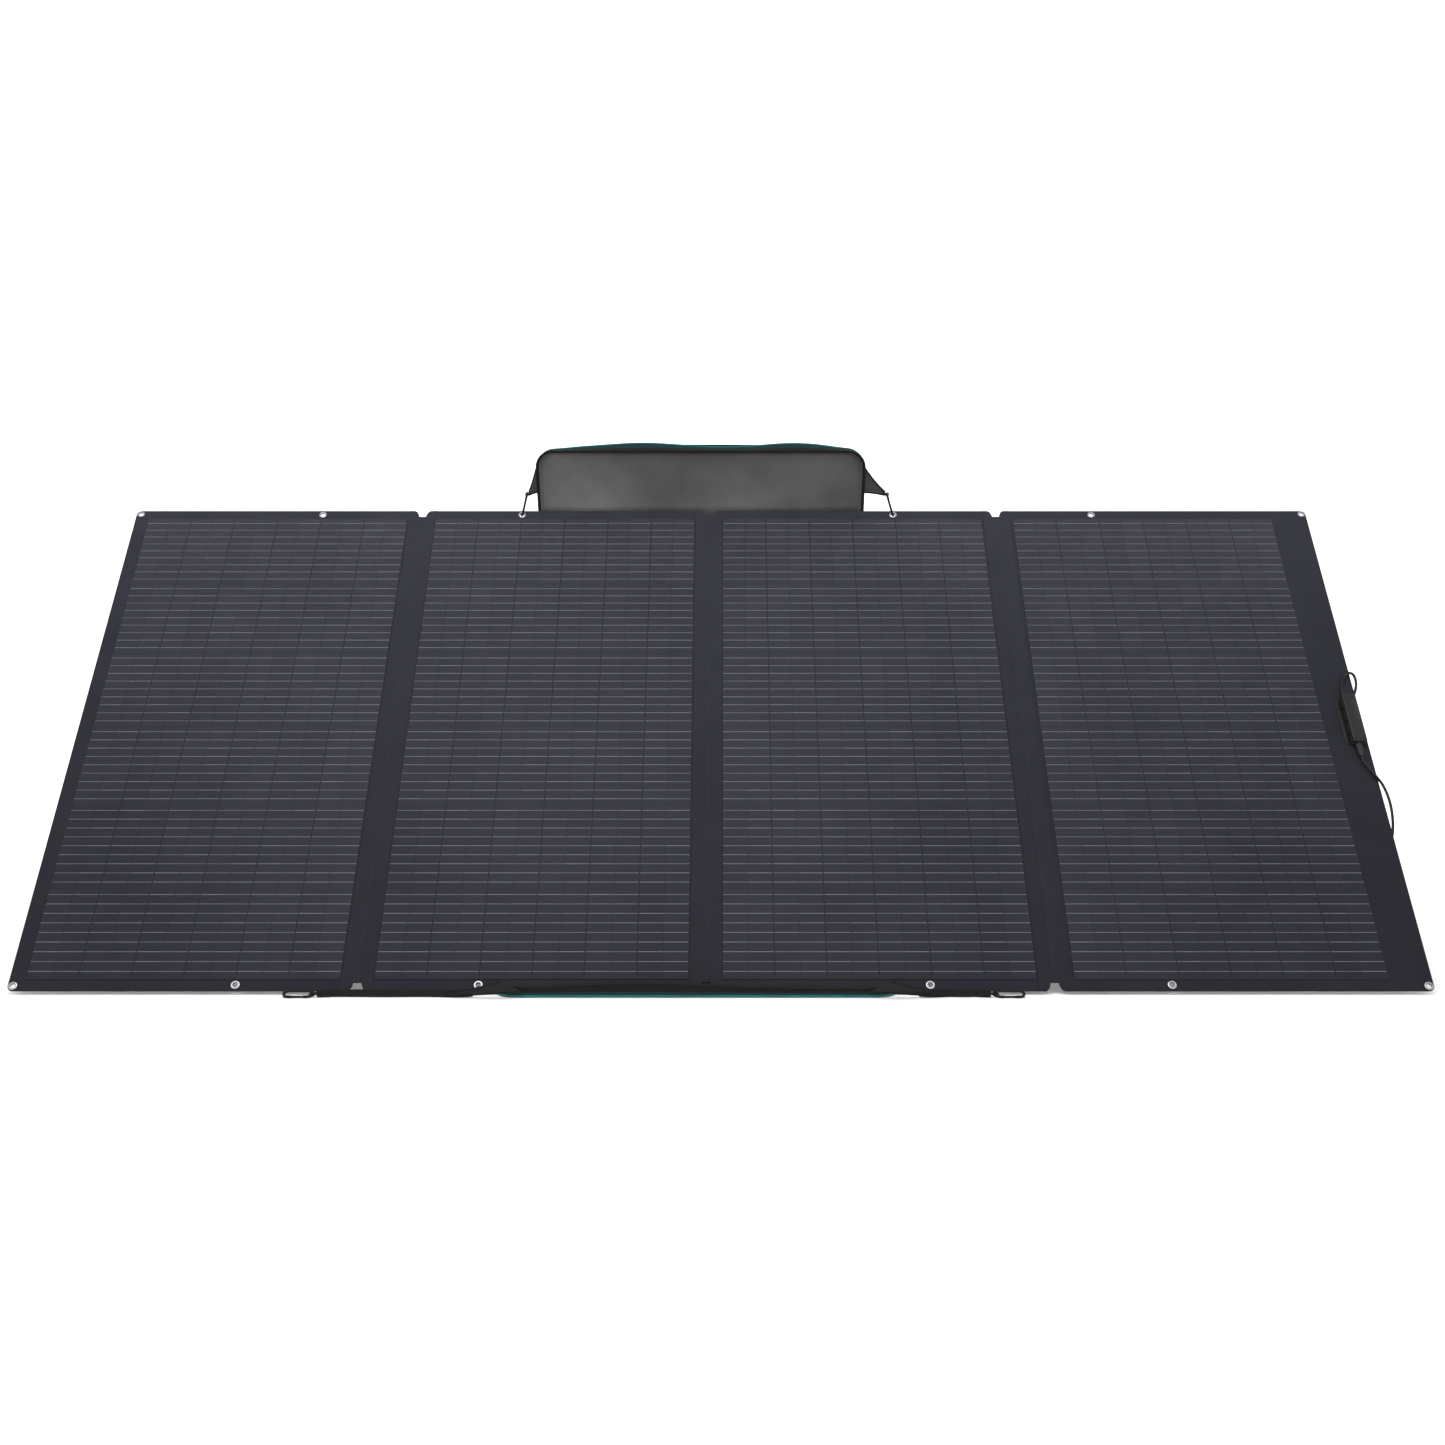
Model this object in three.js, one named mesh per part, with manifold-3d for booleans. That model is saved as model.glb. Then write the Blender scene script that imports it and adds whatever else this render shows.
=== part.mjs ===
// Folding solar blanket in four sections, propped on its own carry case.
// Millimetres. +X runs along the blanket, +Y away from the viewer, +Z up.
// The origin is on the ground, under the middle of the blanket's bottom edge.
import * as THREE from "three";
import { ConvexGeometry } from "three/addons/geometries/ConvexGeometry.js";
import { mergeVertices } from "three/addons/utils/BufferGeometryUtils.js";
import Module from "manifold-3d";

const wasm = await Module();
wasm.setup();

// ---- driving dimensions ----

const GAP = 0.3; // between pieces that touch

// the blanket, unfolded: x from its left edge, v up the slope, w out of its face
const BLANKET_HEIGHT = 1060;
const SECTION_WIDTHS = [579, 579, 579, 628];
const TILT = 54.1; // degrees from the ground
const BOTTOM_LIFT = 5.8; // of the bottom back edge above the ground
const BOARD_THICKNESS = 3;
const LAMINATE_THICKNESS = 0.8;
const FOLD_HALF_GAP = 7; // from a fold line to the board beside it
const CORNER_RADIUS = 10;
const NOTCH_HALF_WIDTH = 16;
const NOTCH_DEPTH = 15;
const CELL_BLOCK_WIDTH = 523;
const CELL_MARGINS = [27, 27, 27, 33]; // from each section's left edge to its cells
const CELL_BOTTOM = 20;
const CELL_TOP = 1038;

// eyelets along the top and the bottom edge
const EYELET_X = [8.5, 377, 780, 1530, 1931, 2356.5];
const EYELET_SECTION = [0, 0, 1, 2, 3, 3];
const CORNER_EYELET_INSET = 8.5;
const EYELET_INSET = 10.5;
const EYELET_HOLE_RADIUS = 4.5;
const EYELET_BARREL_RADIUS = 5.3;
const EYELET_FLANGE_RADIUS = 7.5;

// junction box on the right border
const BOX_LEFT = 2332;
const BOX_WIDTH = 26;
const BOX_BOTTOM = 487;
const BOX_LENGTH = 105;
const BOX_BASE_DEPTH = 8.7;
const BOX_LID_DEPTH = 8.7;
const BOX_WALL = 2;
const BOX_FLANGE = 8;
const GLAND_W = 9.8;
const LEAD_DIAMETER = 5;

// carry case: two shallow halves, hinged at the back on the plane of their rims
const CASE_WIDTH = 657;
const CASE_CENTRE_X = -41;
const HALF_DEPTH = 18;
const HALF_START = 7; // from the hinge axis to the near end of a half
const FRONT_FACE_Y = -22.5;
const HINGE_Y = 1058;
const WALL = 4;
const BOARD = 4;
const LINING = 0.7;
const CASE_CORNER = 35;
const ZIP_TAPE = 1.6;
const RIM_OFF_BLANKET = 0.5;
const SPINE_SKIN = 1.8;
const SPINE_EDGE = 2; // from the plane of the rims
const TAPE_FROM = 1; // the zip tape's edges, from the plane of the rims
const TAPE_TO = 15;

// carabiners
const HOOK_RADIUS = 8; // of the bows, at the middle of the rod
const HOOK_STRAIGHT = 30;
const HOOK_ROD = 2;
const HOOK_LEAN = 40; // degrees from the blanket's face to the hooked carabiners
const LEFT_HOOK_TURN = 18; // degrees, about its eyelet, towards the case
const RIGHT_HOOK_TURN = 22;
const LEFT_HOOK_TWIST = 18; // degrees, about its own length
const RIGHT_HOOK_TWIST = 19;
const GATE_FROM = 5.2;
const GATE_TO = 24.8;
const GATE_RADIUS = 1.6;
const HOOKED_TAB_CLEARANCE = 3;

// the standing half's corner tabs, on its own frame
const TAB_ROOT_FROM = 993;
const TAB_ROOT_TO = 1044;
const TAB_ROOT_Z = 3;
const TAB_TIP_Y = 985.5;
const TAB_TIP_Z = 12.4;

// webbing straps, with the inner end of each carabiner beside them
const STRAP_Y = -20;
const STRAP_WAVES = [-23.5, -18.5, -21.5, -18.2, -20]; // its y at even steps along it
const STRAP_START = 60; // from the case's corner
const STRAP_LIFT = 0.4;
const STRAP_WIDTH = 13;
const STRAP_THICKNESS = 1.6;
const LEFT_SWIVEL_X = -672.4;
const RIGHT_SWIVEL_X = 452.4;
const SWIVEL_CLEARANCE = 4.6;

// ---- worked out from them ----

const BLANKET_LENGTH = SECTION_WIDTHS.reduce((sum, width) => sum + width, 0);
const HALF_BLANKET = BLANKET_LENGTH / 2;
const SECTION_LEFTS = SECTION_WIDTHS.map((_, i) => {
  return SECTION_WIDTHS.slice(0, i).reduce((sum, width) => sum + width, 0);
});
const TILT_RADIANS = THREE.MathUtils.degToRad(TILT);
const HALF_LENGTH = HINGE_Y - FRONT_FACE_Y;
const HINGE_Z = HALF_DEPTH;
const TOP_EDGE_Y = BLANKET_HEIGHT * Math.cos(TILT_RADIANS);
const TOP_EDGE_Z = BOTTOM_LIFT + BLANKET_HEIGHT * Math.sin(TILT_RADIANS);
const TO_TOP_EDGE = Math.hypot(HINGE_Y - TOP_EDGE_Y, TOP_EDGE_Z - HINGE_Z);
const BACK_ANGLE =
  Math.atan2(TOP_EDGE_Z - HINGE_Z, HINGE_Y - TOP_EDGE_Y) +
  Math.asin(RIM_OFF_BLANKET / TO_TOP_EDGE);
const TAPE_FACE = CASE_WIDTH / 2 + GAP + ZIP_TAPE;
const FRONT_OF_BOARD = BOARD_THICKNESS + GAP;

// ---- materials ----

function material(color, roughness, metalness = 0) {
  return new THREE.MeshStandardMaterial({ color, roughness, metalness });
}

const COVER = material(0x3c3c44, 0.75);
const CELLS = material(0x41424d, 0.45);
const BAND = material(0x37383f, 0.85);
const COPPER = material(0xb87340, 0.35, 1);
const STEEL = material(0xd9dadc, 0.3, 1);
const BOX_PLASTIC = material(0x141416, 0.5);
const GLAND_PLASTIC = material(0x4a4a4c, 0.6);
const CIRCUIT = material(0x1e4a33, 0.6);
const RUBBER = material(0x101012, 0.6);
const CASE_FABRIC = material(0x16383a, 0.85);
const LINING_FABRIC = material(0x686667, 0.7);
const WALL_FABRIC = material(0x1e1e20, 0.85);
const TAPE_FABRIC = material(0x131314, 0.9);
const TAB_FABRIC = material(0x4e4e50, 0.85);
const WEBBING = material(0x1a1a1b, 0.9);
const ANODIZED = material(0x121213, 0.35, 0.8);
const ZIP_METAL = material(0x3a3b3d, 0.4, 0.9);

// ---- making solids ----

function solidOf(geometry) {
  const bare = geometry.clone();
  bare.deleteAttribute("normal");
  bare.deleteAttribute("uv");
  const merged = mergeVertices(bare, 1e-4);
  const mesh = new wasm.Mesh({
    numProp: 3,
    vertProperties: new Float32Array(merged.attributes.position.array),
    triVerts: new Uint32Array(merged.index.array),
  });
  return new wasm.Manifold(mesh);
}

function geometryOf(solid) {
  const mesh = solid.getMesh();
  const geometry = new THREE.BufferGeometry();
  geometry.setAttribute("position", new THREE.BufferAttribute(mesh.vertProperties, 3));
  geometry.setIndex(new THREE.BufferAttribute(mesh.triVerts, 1));
  geometry.computeVertexNormals();
  return geometry;
}

function cut(geometry, ...tools) {
  return geometryOf(tools.reduce((rest, tool) => rest.subtract(solidOf(tool)), solidOf(geometry)));
}

function join(...geometries) {
  return geometryOf(geometries.map(solidOf).reduce((sum, solid) => sum.add(solid)));
}

function piece(parent, name, geometry, look) {
  const mesh = new THREE.Mesh(geometry, look);
  mesh.name = name;
  parent.add(mesh);
  return mesh;
}

// an outline in the XY plane, thickened from z = from to z = to
function slab(outline, from, to, curveSegments = 5) {
  const geometry = new THREE.ExtrudeGeometry(outline, {
    depth: to - from,
    bevelEnabled: false,
    curveSegments,
  });
  return geometry.translate(0, 0, from);
}

function block(x0, x1, y0, y1, z0, z1) {
  const geometry = new THREE.BoxGeometry(x1 - x0, y1 - y0, z1 - z0);
  return geometry.translate((x0 + x1) / 2, (y0 + y1) / 2, (z0 + z1) / 2);
}

function outlineOf(points) {
  return new THREE.Shape(points.map(([x, y]) => new THREE.Vector2(x, y)));
}

// an outline drawn in Y and Z, thickened along X
function slabAlongX(outline, from, to) {
  const turn = new THREE.Matrix4().makeBasis(
    new THREE.Vector3(0, 1, 0),
    new THREE.Vector3(0, 0, 1),
    new THREE.Vector3(1, 0, 0),
  );
  return slab(outline, from, to).applyMatrix4(turn);
}

// an outline drawn in X and Z, thickened along Y
function slabAlongY(outline, from, to) {
  return slab(outline, -to, -from).rotateX(Math.PI / 2);
}

function roundedRectangle(x0, x1, y0, y1, radius) {
  const outline = new THREE.Shape();
  outline.moveTo(x0 + radius, y0);
  outline.lineTo(x1 - radius, y0);
  outline.absarc(x1 - radius, y0 + radius, radius, -Math.PI / 2, 0);
  outline.lineTo(x1, y1 - radius);
  outline.absarc(x1 - radius, y1 - radius, radius, 0, Math.PI / 2);
  outline.lineTo(x0 + radius, y1);
  outline.absarc(x0 + radius, y1 - radius, radius, Math.PI / 2, Math.PI);
  outline.lineTo(x0, y0 + radius);
  outline.absarc(x0 + radius, y0 + radius, radius, Math.PI, Math.PI * 1.5);
  return outline;
}

function circle(x, y, radius) {
  return new THREE.Path().absarc(x, y, radius, 0, Math.PI * 2);
}

// a rod or cable: a round section swept along a curve
function rod(curve, radius, sides, steps) {
  const section = new THREE.Shape();
  for (let i = 0; i < sides; i += 1) {
    const angle = (i / sides) * Math.PI * 2;
    const x = radius * Math.cos(angle);
    const y = radius * Math.sin(angle);
    if (i === 0) {
      section.moveTo(x, y);
    } else {
      section.lineTo(x, y);
    }
  }
  return new THREE.ExtrudeGeometry(section, { steps, extrudePath: curve, bevelEnabled: false });
}

// a turned piece about its own Z axis, from [radius, z] points
function turned(points, segments = 12) {
  const profile = points.map(([radius, z]) => new THREE.Vector2(radius, z));
  return new THREE.LatheGeometry(profile, segments).rotateX(Math.PI / 2);
}

// a flat triangle of cloth with its thickness
function flap(corners, thickness) {
  const [a, b, c] = corners.map((corner) => new THREE.Vector3(...corner));
  const normal = new THREE.Vector3().subVectors(b, a).cross(new THREE.Vector3().subVectors(c, a));
  normal.setLength(thickness / 2);
  const points = [a, b, c].flatMap((p) => [p.clone().add(normal), p.clone().sub(normal)]);
  return new ConvexGeometry(points);
}

// ---- the blanket ----

const part = new THREE.Group();
const blanket = new THREE.Group();
blanket.position.set(0, 0, BOTTOM_LIFT);
blanket.rotation.set(TILT_RADIANS, 0, 0);
part.add(blanket);

function fromLeft(x) {
  return x - HALF_BLANKET;
}

// a point given on the blanket, in the part's own frame
function onBlanket(x, v, w) {
  const cosine = Math.cos(TILT_RADIANS);
  const sine = Math.sin(TILT_RADIANS);
  return new THREE.Vector3(x, v * cosine - w * sine, BOTTOM_LIFT + v * sine + w * cosine);
}

function eyeletInset(i) {
  return i === 0 || i === EYELET_X.length - 1 ? CORNER_EYELET_INSET : EYELET_INSET;
}

// one corner of a board, at a rounded end of the blanket or at a notch beside a fold,
// followed counterclockwise from the first edge to the second
function addCorner(outline, edgeX, edgeV, intoX, intoV, rounded) {
  const vertical = rounded ? CORNER_RADIUS : NOTCH_DEPTH;
  const along = rounded ? CORNER_RADIUS : NOTCH_HALF_WIDTH - FOLD_HALF_GAP;
  const onSide = [edgeX, edgeV + intoV * vertical];
  const onEdge = [edgeX + intoX * along, edgeV];
  const sideFirst = intoX * intoV > 0;
  const [start, end] = sideFirst ? [onSide, onEdge] : [onEdge, onSide];
  const bend = rounded ? [edgeX, edgeV] : [edgeX + intoX * 2, edgeV + intoV * 2];
  if (outline.curves.length === 0 && outline.currentPoint.length() === 0) {
    outline.moveTo(...start);
  } else {
    outline.lineTo(...start);
  }
  outline.quadraticCurveTo(...bend, ...end);
}

function sectionBoard(i) {
  const first = i === 0;
  const last = i === SECTION_WIDTHS.length - 1;
  const left = fromLeft(SECTION_LEFTS[i]) + (first ? 0 : FOLD_HALF_GAP);
  const right = fromLeft(SECTION_LEFTS[i] + SECTION_WIDTHS[i]) - (last ? 0 : FOLD_HALF_GAP);
  const outline = new THREE.Shape();
  addCorner(outline, left, 0, 1, 1, first);
  addCorner(outline, right, 0, -1, 1, last);
  addCorner(outline, right, BLANKET_HEIGHT, -1, -1, last);
  addCorner(outline, left, BLANKET_HEIGHT, 1, -1, first);
  outline.closePath();
  EYELET_X.forEach((x, k) => {
    if (EYELET_SECTION[k] === i) {
      const inset = eyeletInset(k);
      const holeRadius = EYELET_BARREL_RADIUS + 0.5;
      outline.holes.push(circle(fromLeft(x), inset, holeRadius));
      outline.holes.push(circle(fromLeft(x), BLANKET_HEIGHT - inset, holeRadius));
    }
  });
  return slab(outline, 0, BOARD_THICKNESS, 6);
}

SECTION_WIDTHS.forEach((_, i) => {
  piece(blanket, `section_${i + 1}_board`, sectionBoard(i), COVER);
  const cellsLeft = fromLeft(SECTION_LEFTS[i] + CELL_MARGINS[i]);
  const laminate = block(
    cellsLeft,
    cellsLeft + CELL_BLOCK_WIDTH,
    CELL_BOTTOM,
    CELL_TOP,
    FRONT_OF_BOARD,
    FRONT_OF_BOARD + LAMINATE_THICKNESS,
  );
  piece(blanket, `section_${i + 1}_cells`, laminate, CELLS);
});

// the fabric hinge at each fold, and the flat conductor that crosses inside it
for (let i = 1; i < SECTION_WIDTHS.length; i += 1) {
  const fold = fromLeft(SECTION_LEFTS[i]);
  const reach = FOLD_HALF_GAP - GAP;
  const band = block(fold - reach, fold + reach, NOTCH_DEPTH, BLANKET_HEIGHT - NOTCH_DEPTH, 1.3, 2.1);
  piece(blanket, `fold_band_${i}_${i + 1}`, band, BAND);
  piece(blanket, `bus_link_${i}_${i + 1}`, block(fold - reach, fold + reach, 40, 100, 0.4, 0.8), COPPER);
}

function eyelet() {
  const back = -1;
  const front = FRONT_OF_BOARD + 0.7;
  return turned([
    [EYELET_HOLE_RADIUS, back],
    [EYELET_FLANGE_RADIUS, back],
    [EYELET_FLANGE_RADIUS, -GAP],
    [EYELET_BARREL_RADIUS, -GAP],
    [EYELET_BARREL_RADIUS, FRONT_OF_BOARD],
    [EYELET_FLANGE_RADIUS, FRONT_OF_BOARD],
    [EYELET_FLANGE_RADIUS, front],
    [EYELET_HOLE_RADIUS, front],
    [EYELET_HOLE_RADIUS, back],
  ]);
}

EYELET_X.forEach((x, k) => {
  const inset = eyeletInset(k);
  const bottom = piece(blanket, `eyelet_bottom_${k + 1}`, eyelet(), STEEL);
  bottom.position.set(fromLeft(x), inset, 0);
  const top = piece(blanket, `eyelet_top_${k + 1}`, eyelet(), STEEL);
  top.position.set(fromLeft(x), BLANKET_HEIGHT - inset, 0);
});

// ---- junction box ----

function junctionBox() {
  const x0 = fromLeft(BOX_LEFT);
  const x1 = x0 + BOX_WIDTH;
  const v0 = BOX_BOTTOM;
  const v1 = v0 + BOX_LENGTH;
  const floor = FRONT_OF_BOARD;
  const seam = floor + BOX_BASE_DEPTH;
  const inside = (from, to) => {
    return block(x0 + BOX_WALL, x1 - BOX_WALL, v0 + BOX_WALL, v1 - BOX_WALL, from, to);
  };
  const foot = join(
    slab(roundedRectangle(x0, x1, v0, v1, 4), floor, seam),
    block(x0 - BOX_FLANGE, x0 + 5, v0 + 4, v1 - 4, floor, floor + 2),
  );
  piece(blanket, "junction_box_base", cut(foot, inside(floor + BOX_WALL, seam + 1)), BOX_PLASTIC);

  const lidTop = seam + GAP + BOX_LID_DEPTH;
  const lid = join(
    slab(roundedRectangle(x0, x1, v0, v1, 4), seam + GAP, lidTop - 2),
    slab(roundedRectangle(x0 + 1.5, x1 - 1.5, v0 + 1.5, v1 - 1.5, 3), lidTop - 3, lidTop),
  );
  piece(blanket, "junction_box_lid", cut(lid, inside(seam - 1, lidTop - BOX_WALL - 1)), BOX_PLASTIC);

  const diodes = join(
    block(x0 + 4, x1 - 4, v0 + 8, v1 - 8, floor + 3, floor + 4.6),
    ...[25, 50, 75].map((v) => block(x0 + 8, x1 - 8, v0 + v, v0 + v + 9, floor + 4, floor + 8)),
  );
  piece(blanket, "diode_board", diodes, CIRCUIT);

  const glandX = { top: fromLeft(2340), bottom: fromLeft(2343.5) };
  const bottomGland = turned([
    [0, 0],
    [4.6, 0],
    [6.2, 5],
    [6.2, 26],
    [0, 26],
  ]);
  const bottom = piece(blanket, "gland_bottom", bottomGland, GLAND_PLASTIC);
  bottom.rotation.set(-Math.PI / 2, 0, 0);
  bottom.position.set(glandX.bottom, v0 - GAP - 26, GLAND_W);
  const topGland = turned([
    [0, 0],
    [5, 0],
    [5, 7],
    [4, 10],
    [0, 10],
  ]);
  const top = piece(blanket, "gland_top", topGland, GLAND_PLASTIC);
  top.rotation.set(-Math.PI / 2, 0, 0);
  top.position.set(glandX.top, v1 + GAP, GLAND_W);
}

junctionBox();

// ---- leads and their connectors ----

// over the right edge, down behind the blanket, then loose on the ground
const POSITIVE_ROUTE = [
  onBlanket(1157.5, 602.6, 9.8),
  onBlanket(1158.5, 616, 9.8),
  onBlanket(1165, 634, 10.5),
  onBlanket(1177, 648, 9),
  onBlanket(1189, 648, 4),
  onBlanket(1193, 634, -1),
  onBlanket(1188, 614, -6),
  onBlanket(1180, 600, -10),
  new THREE.Vector3(1175, 366, 440),
  new THREE.Vector3(1172, 369, 300),
  new THREE.Vector3(1170, 368, 150),
  new THREE.Vector3(1168, 367, 55),
  new THREE.Vector3(1160, 374, 14),
  new THREE.Vector3(1146, 390, 3),
  new THREE.Vector3(1110, 424, 3),
  new THREE.Vector3(1070, 440, 5),
  new THREE.Vector3(1052, 442, 8.6),
  new THREE.Vector3(1044, 442, 8.6),
];
const NEGATIVE_ROUTE = [
  onBlanket(1161, 460.4, 9.8),
  onBlanket(1162, 449, 9.8),
  onBlanket(1168, 436, 9.2),
  onBlanket(1178.5, 418, 8),
  onBlanket(1187, 401, 6),
  onBlanket(1192.5, 375, 3),
  onBlanket(1193.5, 349, -1),
  onBlanket(1190.5, 321, -6),
  onBlanket(1185, 300, -10),
  new THREE.Vector3(1177, 180, 222),
  new THREE.Vector3(1170, 187, 150),
  new THREE.Vector3(1165, 189, 60),
  new THREE.Vector3(1157, 196, 14),
  new THREE.Vector3(1140, 208, 3),
  new THREE.Vector3(1090, 232, 3),
  new THREE.Vector3(1030, 246, 3),
  new THREE.Vector3(965, 240, 3),
  new THREE.Vector3(905, 224, 5),
  new THREE.Vector3(886, 220, 8.6),
  new THREE.Vector3(878, 219, 8.6),
];

function lead(name, route) {
  const curve = new THREE.CatmullRomCurve3(route, false, "centripetal");
  const steps = Math.round(curve.getLength() / (LEAD_DIAMETER * 2.5));
  piece(part, name, rod(curve, LEAD_DIAMETER / 2, 10, steps), RUBBER);
}

// a connector body with its nut and a collar, beyond the lead's end
function connector(name, route, length, noseRadius) {
  const nut = 8;
  const neck = 6.6;
  const geometry = turned([
    [0, GAP],
    [6.2, GAP],
    [nut, 6],
    [nut, 22],
    [neck, 24],
    [neck, 36],
    [nut, 37],
    [nut, 43],
    [noseRadius, 44],
    [noseRadius, length],
    [0, length],
  ]);
  const end = route[route.length - 1];
  const before = route[route.length - 2];
  const mesh = piece(part, name, geometry, BOX_PLASTIC);
  mesh.position.copy(end);
  mesh.lookAt(end.clone().multiplyScalar(2).sub(before));
}

lead("lead_positive", POSITIVE_ROUTE);
lead("lead_negative", NEGATIVE_ROUTE);
connector("connector_positive", POSITIVE_ROUTE, 62, 4);
connector("connector_negative", NEGATIVE_ROUTE, 54, 6.5);

// ---- carabiners ----

// a carabiner in its own frame: y from the first bow to the second, gate on the +x side
function carabinerRod() {
  const path = new THREE.CurvePath();
  const at = (x, y) => new THREE.Vector3(x, y, 0);
  const bow = (centreY, from) => {
    const points = [0, 1, 2, 3, 4, 5, 6].map((i) => {
      const angle = from + (i / 6) * Math.PI;
      return at(HOOK_RADIUS * Math.cos(angle), centreY + HOOK_RADIUS * Math.sin(angle));
    });
    return new THREE.CatmullRomCurve3(points, false, "centripetal");
  };
  path.add(new THREE.LineCurve3(at(HOOK_RADIUS, GATE_TO + GAP), at(HOOK_RADIUS, HOOK_STRAIGHT)));
  path.add(bow(HOOK_STRAIGHT, 0));
  path.add(new THREE.LineCurve3(at(-HOOK_RADIUS, HOOK_STRAIGHT), at(-HOOK_RADIUS, 0)));
  path.add(bow(0, Math.PI));
  path.add(new THREE.LineCurve3(at(HOOK_RADIUS, 0), at(HOOK_RADIUS, GATE_FROM - GAP)));
  return rod(path, HOOK_ROD, 8, 28);
}

// a straight rod with a round end, centred on the gate's hinge
function gateRod() {
  const r = GATE_RADIUS;
  const gate = turned(
    [
      [0, GATE_FROM],
      [r * Math.sin(Math.PI / 4), GATE_FROM + r * (1 - Math.cos(Math.PI / 4))],
      [r, GATE_FROM + r],
      [r, GATE_TO],
      [0, GATE_TO],
    ],
    10,
  );
  return gate.rotateX(-Math.PI / 2).translate(HOOK_RADIUS, 0, 0);
}

// placed by its first bow's middle, with its length along one direction and its gate to another
function carabiner(parent, place, firstBow, lengthwise, gateward) {
  const across = new THREE.Vector3().crossVectors(gateward, lengthwise);
  const matrix = new THREE.Matrix4().makeBasis(gateward, lengthwise, across).setPosition(firstBow);
  piece(parent, `carabiner_${place}`, carabinerRod().applyMatrix4(matrix), ANODIZED);
  piece(parent, `gate_${place}`, gateRod().applyMatrix4(matrix), ANODIZED);
}

const lean = THREE.MathUtils.degToRad(HOOK_LEAN);
const HOOK_AXIS = new THREE.Vector3(0, Math.cos(lean), Math.sin(lean));
const HOOK_FRONT = new THREE.Vector3(0, -Math.sin(lean), Math.cos(lean));
const BLANKET_NORMAL = new THREE.Vector3(0, 0, 1);

// hooked through the middle top eyelets, on the blanket's own frame: turned about the eyelet,
// then twisted about its own length, with the rod still through the eyelet's middle
function hookedCarabiner(place, eyeletX, turnRight, twist) {
  const turn = -THREE.MathUtils.degToRad(turnRight);
  const lengthwise = HOOK_AXIS.clone().applyAxisAngle(BLANKET_NORMAL, turn);
  const gateward = HOOK_FRONT.clone().applyAxisAngle(BLANKET_NORMAL, turn);
  gateward.applyAxisAngle(lengthwise, THREE.MathUtils.degToRad(twist));
  const eyeletV = BLANKET_HEIGHT - EYELET_INSET;
  const bow = new THREE.Vector3(fromLeft(eyeletX), eyeletV, BOARD_THICKNESS / 2);
  bow.addScaledVector(gateward, -HOOK_RADIUS * Math.sin(lean));
  bow.addScaledVector(lengthwise, HOOK_RADIUS * Math.cos(lean));
  carabiner(blanket, place, bow, lengthwise, gateward);
}

hookedCarabiner("top_left", EYELET_X[2], LEFT_HOOK_TURN, LEFT_HOOK_TWIST);
hookedCarabiner("top_right", EYELET_X[3], -RIGHT_HOOK_TURN, -RIGHT_HOOK_TWIST);

// lying loose on the ground, leaning back a little
const GROUND_LEAN = Math.asin(7 / (HOOK_RADIUS * 2));
const GROUND_FRONT = new THREE.Vector3(0, -Math.cos(GROUND_LEAN), -Math.sin(GROUND_LEAN));
const GROUND_HOOK_Z = HOOK_ROD + GAP + HOOK_RADIUS * Math.sin(GROUND_LEAN);

function looseCarabiner(place, swivelX, outward) {
  const secondBowX = swivelX + outward * HOOK_RADIUS;
  const firstBow = new THREE.Vector3(secondBowX + outward * HOOK_STRAIGHT, STRAP_Y, GROUND_HOOK_Z);
  carabiner(part, place, firstBow, new THREE.Vector3(-outward, 0, 0), GROUND_FRONT);
}

looseCarabiner("bottom_left", LEFT_SWIVEL_X, -1);
looseCarabiner("bottom_right", RIGHT_SWIVEL_X, 1);

// a corner tab of the ground half, with the webbing that runs from it to the carabiner, on edge
function groundStrap(place, swivelX, outward) {
  const corner = CASE_CENTRE_X + (outward * CASE_WIDTH) / 2;
  const end = swivelX - outward * SWIVEL_CLEARANCE;
  const start = corner + outward * STRAP_START;
  const middle = STRAP_WAVES.map((y, i) => {
    return new THREE.Vector2(start + ((end - start) * i) / (STRAP_WAVES.length - 1), y);
  });
  const line = new THREE.SplineCurve(middle).getPoints(14);
  const front = line.map((p) => [p.x, p.y - STRAP_THICKNESS / 2]);
  const back = line.map((p) => [p.x, p.y + STRAP_THICKNESS / 2]);
  const around = outward > 0 ? [...front, ...back.reverse()] : [...back, ...front.reverse()];
  const webbing = slab(outlineOf(around), STRAP_LIFT, STRAP_LIFT + STRAP_WIDTH);
  const tab = flap(
    [
      [corner - outward * 45, -26.2, 10],
      [corner - outward * 11, -40, 30],
      [corner + outward * 76, -22, 3.5],
    ],
    1.4,
  );
  piece(part, `strap_${place}`, join(webbing, tab), WEBBING);
}

groundStrap("bottom_left", LEFT_SWIVEL_X, -1);
groundStrap("bottom_right", RIGHT_SWIVEL_X, 1);

// ---- carry case ----

// each half in its own frame: y from the hinge axis to its far end, z from the rim outwards
function band(halfWidth, farEnd, cornerRadius, thickness) {
  const inner = halfWidth - thickness;
  const outline = new THREE.Shape();
  outline.moveTo(halfWidth, HALF_START);
  outline.lineTo(halfWidth, farEnd - cornerRadius);
  outline.absarc(halfWidth - cornerRadius, farEnd - cornerRadius, cornerRadius, 0, Math.PI / 2);
  outline.lineTo(-halfWidth + cornerRadius, farEnd);
  outline.absarc(
    -halfWidth + cornerRadius,
    farEnd - cornerRadius,
    cornerRadius,
    Math.PI / 2,
    Math.PI,
  );
  outline.lineTo(-halfWidth, HALF_START);
  outline.lineTo(-inner, HALF_START);
  const r = cornerRadius - thickness;
  outline.lineTo(-inner, farEnd - cornerRadius);
  outline.absarc(-inner + r, farEnd - cornerRadius, r, Math.PI, Math.PI / 2, true);
  outline.lineTo(inner - r, farEnd - thickness);
  outline.absarc(inner - r, farEnd - cornerRadius, r, Math.PI / 2, 0, true);
  outline.lineTo(inner, HALF_START);
  return outline;
}

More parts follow.
